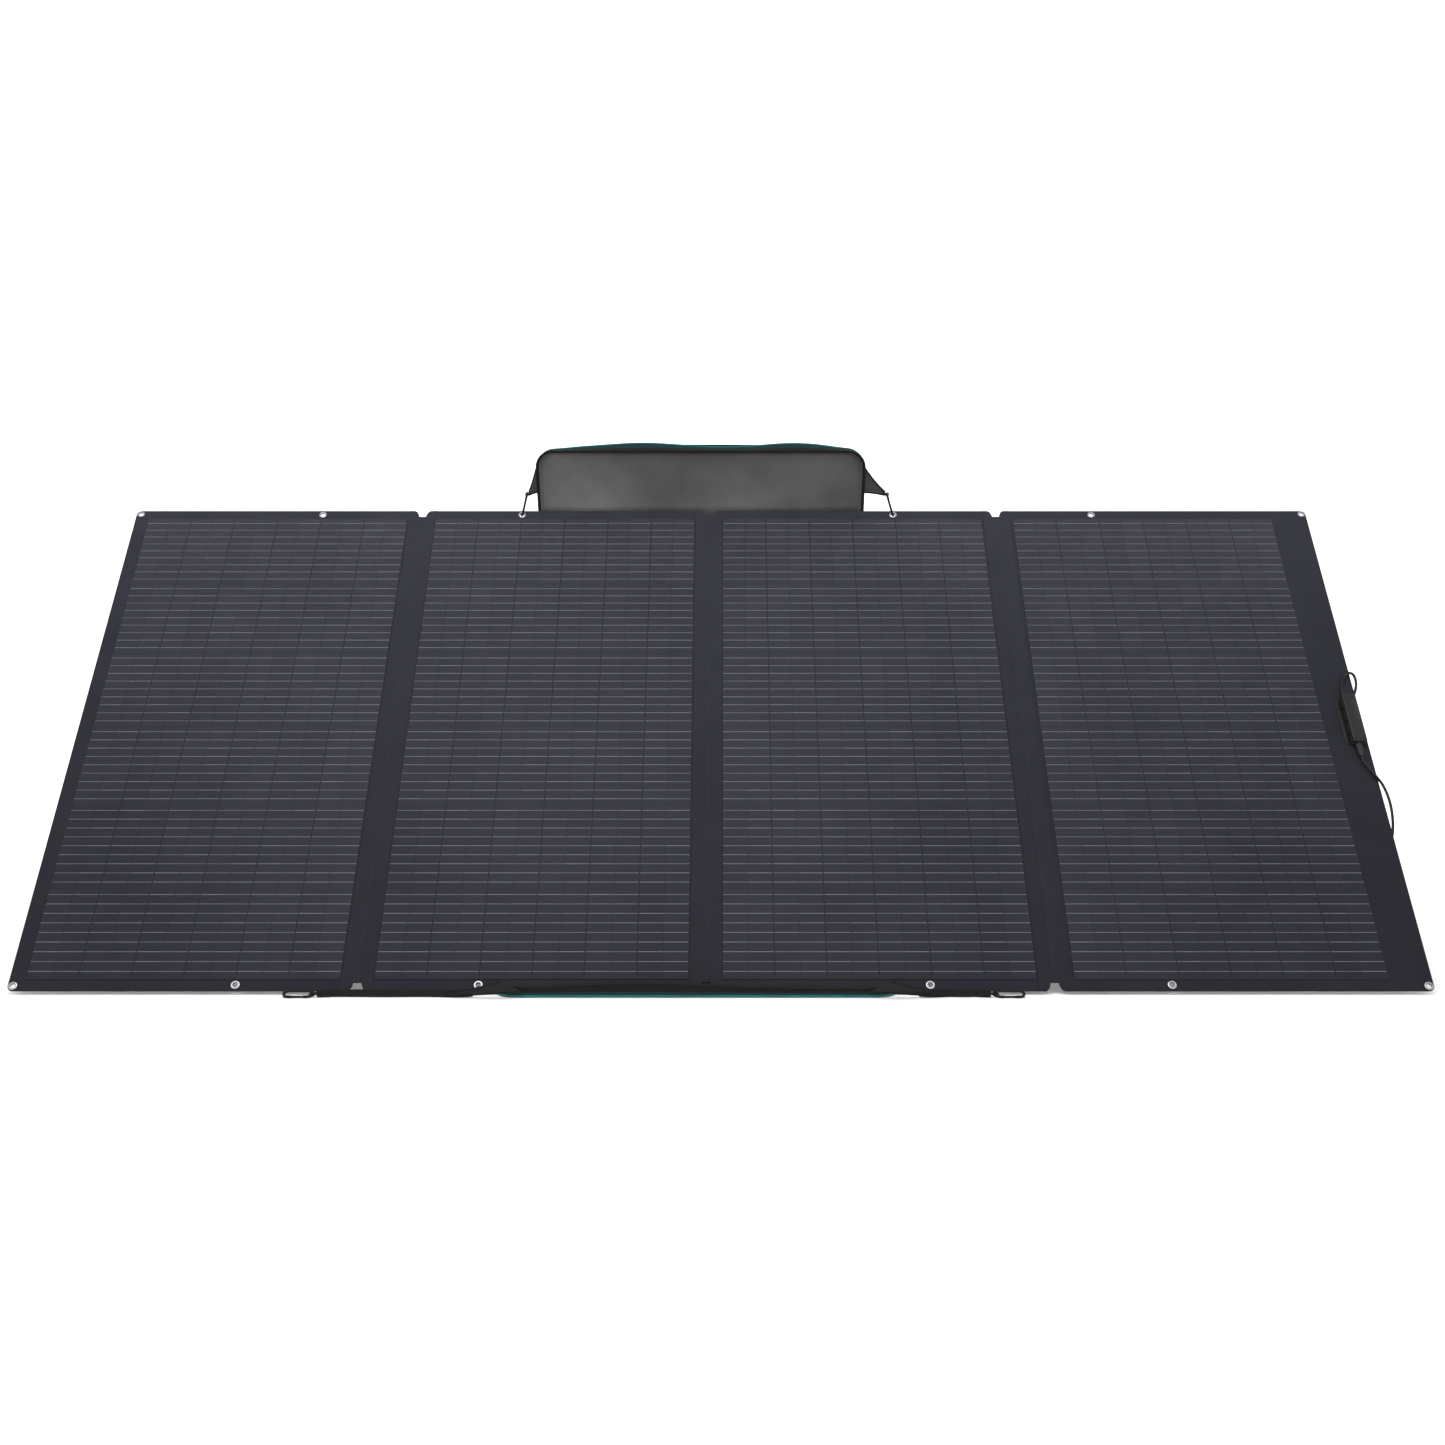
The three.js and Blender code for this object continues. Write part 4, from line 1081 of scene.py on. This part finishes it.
def across_half(wide, near, steps):
    """Places across a half, close together by its sides."""
    middle = 2 * (wide - near[-1])
    xs = [-wide + d for d in near]
    xs += [-wide + near[-1] + middle * i / steps for i in range(1, steps)]
    return xs + [wide - d for d in reversed(near)]


def pressed(y):
    """How far down the blanket's edge presses the side walls of the ground half."""
    return 12.9 * smooth((y - PRESSED_FROM) / 12) * smooth((1081 - y) / 20.5)


def bulge(x):
    """How far the far end of the standing half swells out, in two soft humps."""
    left = 9.5 * exp(-(((x - 115) / 105) ** 2))
    right = 9.0 * exp(-(((x + 185) / 85) ** 2))
    return 1.0 + left + right - 3.5 * smooth((abs(x) - 225) / 80)


def swell(x, y):
    """How far the ground half's soft front wall stands up above its rim plane."""
    return 8.5 * exp(-(((x + 90) / 150) ** 2)) * smooth((y - 1072) / 8)


class Half:
    """One half of the case, in its own frame: y from the hinge, z from the rim outwards."""

    def __init__(self, name, place, body, standing):
        self.name, self.place, self.body, self.standing = name, place, body, standing

    def top(self, y):
        """The height of the rim."""
        return 0.0 if self.standing else pressed(y)

    def warp(self, point):
        """The soft shape of the cloth away from its rim."""
        x, y, z = point
        deep = smooth((z - 7) / 8)
        if self.standing:
            tucked = 2.6 * smooth((abs(x) - 285) / 40) * smooth((y - 960) / 100) * deep
            y += bulge(x) * smooth((y - 1010) / 70) * deep
            x -= copysign(tucked, x)
        else:
            z -= swell(x, y) * smooth((14 - z) / 14)
        wave = noise.noise(Vector((x * 0.011, y * 0.011, 5.0 + 3 * self.standing)))
        if abs(x) > HALF_WIDTH - 8:
            x += copysign(0.7 * wave * deep, x)
        return (x, y, z)

    def rings(self, outline):
        """Rings round the half from an outline given for the height of its rim."""
        rings = []
        for x, y, out_x, out_y in STATIONS:
            places = [(x + out_x * out, y + out_y * out, z) for out, z in outline(self.top(y))]
            rings.append([self.warp((x, y, min(z, WALL_TOP))) for x, y, z in places])
        return rings

    def band(self, outline):
        return Form().loft(self.rings(outline))

    def line(self, out, z_of):
        """A line round the half, at a distance from its edge."""
        return [ring[0] for ring in self.rings(lambda t: [(out, z_of(t))])]

    def inside(self, inset):
        """The half-width at y, and the far end, of an outline inset from the half's own."""
        end, r = HALF_END - inset, CASE_CORNER - inset

        def half_width(y):
            over = max(0.0, min(r, y - (end - r)))
            return HALF_WIDTH - inset - r + sqrt(max(0.0, r * r - over * over))

        return half_width, end

    def add(self, suffix, form, look, slot=None, stands_for=(), sharp=40):
        nodes = [f"{self.name}_{node}" for node in stands_for]
        return make(f"{self.name}_{suffix}", form, self.place, look, self.body, nodes, sharp)

    def wall(self):
        """The side wall, and the binding round its rim."""
        wall = self.band(lambda t: [
            (-4.0, WALL_TOP), (-3.95, t + 9), (-3.8, t + 2.6), (-3.0, t + 1.4), (-2.0, t + 1.0),
            (-1.0, t + 1.4), (-0.2, t + 2.6), (0.0, t + 6), (0.2, t + 9), (0.55, t + 11.5),
            (0.6, t + 13.5), (0.2, WALL_TOP),
        ])
        self.add("side_wall", wall, SHELL_CLOTH, "wall_fabric", ["wall"])
        rim = self.band(lambda t: [
            (-4.35, t + 6.2), (-4.3, t + 2.2), (-3.5, t + 0.6), (-2.0, t + 0.0), (-0.6, t + 0.6),
            (0.24, t + 2.2), (0.27, t + 5.0), (0.05, t + 5.0), (-0.1, t + 2.5), (-0.9, t + 1.2),
            (-2.0, t + 0.8), (-3.1, t + 1.2), (-3.9, t + 2.5), (-4.05, t + 6.2),
        ])
        self.add("rim", rim, RIM_BINDING, "wall_fabric")

    def zip(self):
        """The tape, its teeth, and the seam that holds it."""
        tape = self.band(lambda t: [
            (0.32, t + 1.2), (0.9, t + 0.9), (1.25, t + 1.4), (1.2, t + 3.2), (0.95, t + 4.2),
            (0.95, min(15.4, t + 9.6)), (0.5, min(15.6, t + 9.8)), (0.32, min(15.2, t + 9.4)),
        ])
        self.add("tape", tape, ZIP_TAPE, "zip_tape", ["zip_tape"])
        line = self.line(1.5, lambda t: t + 1.7)
        teeth = Form().blocks(line, (0, 0, 1), 2.3, 1.25, 1.1, 2.0)
        self.add("teeth", teeth, TEETH_PLASTIC, "zip_tape")
        seam = Form()
        line = [Vector(point) for point in self.line(1.05, lambda t: min(t + 7.8, 15.0))]
        for a, b, station in zip(line, line[1:], STATIONS):
            count = max(1, round((b - a).length / STITCH_PITCH))
            for step in range(count):
                start, end = (a.lerp(b, (step + part) / count) for part in (0.15, 0.85))
                length = (end - start).length
                seam.stitches([start, end], (*station[2:], 0), pitch=length, length=length)
        self.add("seam", seam, THREAD)

    def piping(self):
        """The bright cord where the wall meets the outer face."""
        piping = Form().tube(self.line(1.0, lambda t: 15.3), 1.6, 10)
        self.add("piping", piping, PIPING_CLOTH, "case_fabric", sharp=80)

    def shell(self):
        """The stiffened outer face, wrapped over its edges."""
        half_width, end = self.inside(0.5)
        rows = [HALF_START + (end - 40 - HALF_START) * i / 34 for i in range(35)]
        rows += [end - d for d in (34, 28, 22, 17, 12, 8, 4.6, 4.4, 2.8, 1.4, 0.5, 0)]
        near = [0, 0.5, 1.5, 4, 9, 18]
        rings = []
        for y in rows:
            wide = half_width(y)
            ring = []
            for x in across_half(wide, near, 22):
                to_edge = min(wide - abs(x), end - y, 3.5)
                z = FACE - FACE_ROUNDING * (1 - smooth(to_edge / 3.5))
                if self.standing:
                    pillow = smooth(min(wide - abs(x), end - y, y - HALF_START) / 90)
                    crinkle = noise.fractal(Vector((x * 0.008, y * 0.012, 1)), 1.0, 2.0, 3)
                    z += pillow * (2.2 + 1.1 * crinkle)
                ring.append((x, y, z))
            depth = 14.1 if y < (end - 4.5 if self.standing else PRESSED_FROM) else 16.4
            under = [(x, y, 16.42) for x in (wide - 0.2, wide - 3.9)]
            under += [(x, y, depth) for x in (wide - 4.1, wide - 30, 0.5 * wide, 0.2 * wide)]
            ring += under + [(-x, y, z) for x, y, z in reversed(under)]
            rings.append([self.warp(point) for point in ring])
        form = Form().loft(rings, caps=False)
        count = len(rings[0])
        for first in (0, (len(rings) - 1) * count):
            form.faces.append(tuple(range(first, first + count)))
        form.cloth = [(x, y) for x, y, z in form.points]
        self.add("shell", form, SHELL_CLOTH, "case_fabric", ["board"], 50)

    def lining(self):
        """The sheet inside, turned up at its edge."""
        half_width, end = self.inside(LINING_INSET)
        near = [0, 0.7, 1.6, 2.8, 4.2, 6, 9, 14, 22]
        rows = [HALF_START + 0.5 + (end - 22 - HALF_START) * i / 60 for i in range(60)]
        rows += [end - d for d in reversed(near)]
        rings = []
        for y in rows:
            wide = half_width(y)
            shown, hidden = [], []
            for x in across_half(wide, near, 44):
                to_side, to_end = half_width(0) - abs(x), end - y
                to_edge = min(to_side, to_end)
                if max(to_side, to_end) < INNER_CORNER:
                    to_edge = INNER_CORNER - hypot(INNER_CORNER - to_side, INNER_CORNER - to_end)
                rise = 10.2 * (1 - smooth(to_edge / 6.5))
                z = LINING_FLOOR - rise - self.creases(x, y) * smooth(to_edge / 25)
                z = max(z, LINING_LOW + (self.top(y) if y > 1040 else 0))
                shown.append((x, y, min(z, LINING_HIGH)))
                hidden.append((x, y, min(z + 0.6, 16.0)))
            rings.append(shown + hidden[::-1])
        form = Form().loft(rings)
        form.cloth = [(x, y) for x, y, z in form.points]
        sheet = self.add("inner_sheet", form, LINING, "case_lining", ["lining"], 60)

    def creases(self, x, y):
        """Soft folds in the lining, towards the rim."""
        soft = noise.fractal(Vector((x * 0.006, y * 0.009, 7 + 5 * self.standing)), 1.0, 2.0, 3)
        height = 1.2 + 1.5 * soft
        for across, along, slope, width, tall in CREASES:
            away = ((x - across) - (y - along) * slope) / sqrt(1 + slope * slope)
            reach = exp(-(((x - across) ** 2 + (y - along) ** 2) / 150**2))
            height += tall * exp(-((away / width) ** 2)) * reach
        return max(0.0, height)


for half in (
    Half("base", GROUND_HALF, "case_base", False), Half("back", STANDING_HALF, "case_back", True)
):
    half.wall()
    half.zip()
    half.piping()
    half.shell()
    half.lining()


def spine():
    """The cloth between the halves, round the hinge axis."""
    rings = []
    for step in range(33):
        angle = radians(-113 + 163.5 * step / 32)
        outer, inner = [], []
        for column in range(41):
            x = -324 + 648 * column / 40
            ruck = 0.5 * noise.noise(Vector((x * 0.02, step * 0.3, 2)))
            for row, radius in ((outer, 17.3 + ruck), (inner, 15.9 + ruck)):
                y, z = radius * cos(angle), radius * sin(angle)
                row.append((CASE_X + x, HINGE_Y + y, HALF_DEPTH + z))
        rings.append(outer + inner[::-1])
    form = Form().loft(rings)
    made = make("spine_cover", form, MM, SHELL_CLOTH, None, ["spine"], 60)
    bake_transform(made)


spine()

# ---- the corner tabs, their loops and the ground straps ----

TAB_ROWS = 14
TAB_COLUMNS = 8
TAB_THICKNESS = 1.1
STRAP_WAVES = [-23.5, -18.5, -21.5, -18.2, -20]
KNOT_WIDTHS = [8, 11, 12.6, 12.2, 10.4, 7]
KNOT_DEPTHS = [3.0, 5.0, 6.0, 6.0, 5.0, 3.2]
KNOT_Y = -20.6
KNOT_Z = 6.4


def patch(rows):
    """Cloth of even thickness over a grid of points."""
    rings = []
    for i, row in enumerate(rows):
        front, back = [], []
        for k, point in enumerate(row):
            along = way_at([other[k] for other in rows], i)
            out = along.cross(way_at(row, k)).normalized() * TAB_THICKNESS / 2
            front.append(point + out)
            back.append(point - out)
        rings.append(front + back[::-1])
    return Form().loft(rings)


def tab_rows(low_root, high_root, tip, tip_width, sag):
    """A grid over a tapering tab whose free edges curve inwards a little."""
    low_root, high_root, tip = Vector(low_root), Vector(high_root), Vector(tip)
    root_way = (high_root - low_root).normalized()
    out = (tip - low_root).cross(root_way).normalized()
    rows = []
    for i in range(TAB_ROWS + 1):
        t = i / TAB_ROWS
        inwards = 3 * sin(pi * t)
        low = low_root.lerp(tip - root_way * tip_width / 2, t) + root_way * inwards * 0.4
        high = high_root.lerp(tip + root_way * tip_width / 2, t) - root_way * inwards
        row = []
        for k in range(TAB_COLUMNS + 1):
            s = k / TAB_COLUMNS
            row.append(low.lerp(high, s) + out * (sag * sin(pi * t) * sin(pi * s)))
        rows.append(row)
    return rows, out


def bound_tab(name, rows, out, place, body, look, stands_for):
    """A tab of cloth with a binding on its free edges and its stitches."""
    tab = make(f"{name}_cloth", patch(rows), place, look, body, stands_for, 60)
    binding, seams = Form(), Form()
    for first, second in ((0, 1), (-1, -2)):
        edge = [row[first] for row in rows]
        ways = [way_at(edge, i).cross(out) for i in range(len(edge))]
        binding.strap(edge, ways, 3.4, 2.0)
        line = [row[first].lerp(row[second], 0.42) for row in rows]
        for side in (-1, 1):
            seams.stitches([p + out * side * 1.02 for p in line], out * side, 3.2, 2.2, 0.4, 0.2)
    make(f"{name}_binding", binding, place, RIM_BINDING, body)
    make(f"{name}_seams", seams, place, THREAD, body)


def loop_round(centre, near, up, inner, outer, wide):
    """Points of a loop round a rod, from the near side under it and back over it."""
    points = []
    for step in range(0, 17, 2):
        angle = radians(-52 - (360 - 104) * step / 16)
        along, rise = cos(angle), sin(angle)
        points.append(centre + near * along * wide + up * rise * (inner if rise < 0 else outer))
    return points


for side, sign, tip_x in (("left", 1, 345.1), ("right", -1, 369.7)):
    low_root, high_root = (sign * 329.4, 993, 3), (sign * 329.4, 1044, 3)
    rows, out = tab_rows(low_root, high_root, (sign * (tip_x + 3), 987, 12), 7, -0.8)
    bound_tab(
        f"tab_top_{side}", rows, out, STANDING_HALF, "case_back", TAB_CLOTH, [f"tab_top_{side}"],
    )
    hook_place = STANDING_HALF.inverted() @ hooked[side]
    centre = hook_place @ Vector((0, 37.65, 0))
    to_local = hook_place.to_3x3()
    near, up, gateward = (
        (to_local @ Vector(way)).normalized() for way in ((0, 0, -sign), (0, 1, 0), (1, 0, 0))
    )
    tip = rows[-1][4]
    root = tip - (tip - rows[-2][4]).normalized() * 5
    ring = loop_round(centre, near, up, 3.9, 3.6, 3.6)
    path = centripetal([root, tip, *ring, tip + up * 0.9, root + up * 0.9], 6)
    widths = [5.2 if 0.15 < i / len(path) < 0.85 else 6.4 for i in range(len(path))]
    loop = Form().strap(path, gateward, widths, 1.7)
    make(f"hook_loop_{side}", loop, STANDING_HALF, WEBBING, "case_back")

for side, (swivel, outward) in SWIVELS.items():
    corner = CASE_X + outward * HALF_WIDTH
    start, end = corner + outward * 60, swivel - outward * 4.6
    line = [Vector((start - outward * 22, -24.2, 8.2))]
    for i, y in enumerate(STRAP_WAVES):
        line.append(Vector((start + (end - start) * i / 4, y, 7.0 - 0.4 * (i % 2))))
    near, up = Vector((-outward, 0, 0)), Vector((0, 0, 1))
    centre = Vector((swivel + outward * 0.35, -20, HOOK_Z))
    ring = loop_round(centre, near, up, 3.1, 3.1, 3.3)
    back = [Vector((swivel - outward * x, -21.4, z)) for x, z in ((7, 6.6), (13, 6.8), (30, 7))]
    path = centripetal(line, 8)[:-1] + centripetal([line[-1] - near * -6, *ring, *back], 5)
    ways, widths = [], []
    for point in path:
        to_hook = smooth(1.3 - abs(point.x - swivel) / 11)
        ways.append(up.lerp(GROUND_FRONT, to_hook))
        widths.append(12.6 - 6.6 * to_hook)
    strap = Form().strap(path, ways, widths, 1.3)

    middle = swivel - outward * 13
    turns = [(middle + outward * x, KNOT_Y, KNOT_Z) for x in (-5, -3.4, -1.2, 1.2, 3.4, 5)]
    knot = Form().strap(turns, up, KNOT_WIDTHS, KNOT_DEPTHS)
    for lean_out, x in ((0.28, -2.4), (-0.2, 1.8)):
        wrap = []
        for c, s in circle(28):
            z = KNOT_Z + 6.6 * s
            wrap.append((middle + outward * (x + lean_out * (z - KNOT_Z)), KNOT_Y + 3.5 * c, z))
        knot.tube(wrap, 1.0, 8, close=True)
    for name, form in (("ground_strap", strap), ("strap_knot", knot)):
        made = make(f"{name}_{side}", form, MM, WEBBING, None)
        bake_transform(made)

    low_root = (corner - outward * 45, -26.2, 10)
    high_root = (corner - outward * 11, -40, 30)
    rows, out = tab_rows(low_root, high_root, (corner + outward * 76, -21.4, 4.2), 11, -1.0)
    bound_tab(
        f"ground_tab_{side}", rows, out, MM, "case_base", GROUND_TAB_CLOTH,
        [f"strap_bottom_{side}"],
    )

# ---- webbing grips ----

GRIP_MIDDLE = 540.25
FOOT = 78.5
ARCH_ENDS = ((0, -FOOT), (36.5, -FOOT), (36.5, -66), (36.5, 0))


def arch(reach):
    """The middle line of a grip, from one foot to the other, as far as reach."""
    points = []
    for step in range(21):
        t = step / 20
        parts = ((1 - t) ** 3, 3 * t * (1 - t) ** 2, 3 * t * t * (1 - t), t**3)
        points.append([sum(part * end[i] for part, end in zip(parts, ARCH_ENDS)) for i in (0, 1)])
    points += [(x, -y) for x, y in reversed(points[:-1])]
    return [(x, y) for x, y in points if abs(y) < reach]


def grip(name, place, to_place, body, case_body, beside):
    """A webbing grip with a wrapped middle; to_place maps the arch's own frame to the half's."""
    line = [to_place(x, y, 0) for x, y in arch(80)]
    across = to_place(0, 0, 1) - to_place(0, 0, 0)
    make(
        f"{name}_webbing", Form().strap(line, across, 10.2, 1.9), place, WEBBING, body, [name]
    )
    wrapped = [to_place(x, y, 0) for x, y in arch(52)]
    last = len(wrapped) - 1
    plump = [2.7 + 0.5 * sin(pi * i / last) ** 0.5 for i in range(last + 1)]
    sleeve = Form().strap(wrapped, across, 10.6, plump)
    make(f"{name}_sleeve", sleeve, place, RIM_BINDING, body)
    seams = Form()
    out = [to_place(x * 1.048, y, 0) for x, y in arch(51)]
    for offset in (-3.6, 3.6):
        lifted = [point + across.normalized() * offset for point in out]
        seams.stitches(lifted, (1, 0, 0) if beside else (0, 0, -1), 3.4, 2.4, 0.45, 0.15)
    make(f"{name}_seams", seams, place, THREAD, body)
    anchors, tacks = Form(), Form()
    for middle in (GRIP_MIDDLE - FOOT, GRIP_MIDDLE + FOOT):
        if beside:
            low, high = (330.2, middle - 9, 2.2), (330.8, middle + 9, 6.6)
        else:
            low, high = (-330.8, middle - 9, 3.0), (-330.2, middle + 9, 14.4)
            anchors.tube([(-336.15, middle + s, 12) for s in (-4, -3.4, 3.4, 4)], [1, 1.9, 1.9, 1], 14)
            anchors.box((-337, middle - 4, 11.2), (-330.4, middle + 4, 12.4), 0.4)
        anchors.box(low, high, 0.25)
        x = 330.82 if beside else -330.82
        y0, y1, z0, z1 = middle - 7.5, middle + 7.5, low[2] + 1.2, high[2] - 1.2
        around = [(x, y0, z0), (x, y1, z0), (x, y1, z1), (x, y0, z1), (x, y0, z0)]
        tacks.stitches(around, (copysign(1, x), 0, 0), 2.6, 1.9, 0.4, 0.2)
    make(f"{name}_anchors", anchors, place, WEBBING, case_body)
    make(f"{name}_tacks", tacks, place, THREAD, case_body)


grip(
    "base_handle", GROUND_HALF, lambda x, y, z: Vector((330.9 + x, GRIP_MIDDLE + y, 12.15 + z)),
    "base_grip", "case_base", True,
)
grip(
    "back_handle", STANDING_HALF, lambda x, y, z: Vector((-336.15 + z, GRIP_MIDDLE + y, 12 - x)),
    "back_grip", "case_back", False,
)

# ---- zip sliders ----

SLIDER_PLATES = [
    ((330.75, 332.2), (35, 50), (0.2, 5.2), 0.6, 3), ((333.2, 334.5), (35.5, 48.5), (0.2, 5.2), 0.5, 3),
    ((331.8, 333.8), (40, 49), (1.9, 3.5), 0.4, 2),
]
SLIDER_BRIDGE = [(334.2, 37), (335.2, 38), (335.5, 41), (335.5, 44), (335.1, 46.6), (334.2, 47.4)]
PULL_OUTLINE = [(46.4, 1.0), (48.6, 1.7), (52, 1.4), (60, 1.7), (68, 2.2), (72.5, 2.2), (73.8, 1.2)]
PULL_Z = 2.75

for side, sign in (("left", -1), ("right", 1)):
    form = Form()
    for xs, ys, zs, radius, segments in SLIDER_PLATES:
        near, far = sorted(sign * x for x in xs)
        form.box((near, ys[0], zs[0]), (far, ys[1], zs[1]), radius, segments)
    form.strap([(sign * x, y, 2.7) for x, y in SLIDER_BRIDGE], (0, 0, 1), 1.8, 0.8)
    name, node = f"zip_slider_{side}_body", f"zip_slider_{side}"
    make(name, form, GROUND_HALF, ZIP_METAL, f"slider_{side}", [node])
    rings = []
    for y, half in PULL_OUTLINE:
        x0, x1, z0, z1 = sign * 333.9, sign * 335.1, PULL_Z - half, PULL_Z + half
        rings.append([(x0, y, z0), (x1, y, z0), (x1, y, z1), (x0, y, z1)])
    pull = Form().loft(rings)
    pull.tube([(sign * 334.5, 70 + 3.2 * c, PULL_Z + 1.9 * s) for c, s in circle(20)], 0.6, 8, close=True)
    make(f"zip_pull_{side}", pull, GROUND_HALF, ZIP_METAL, f"slider_{side}")
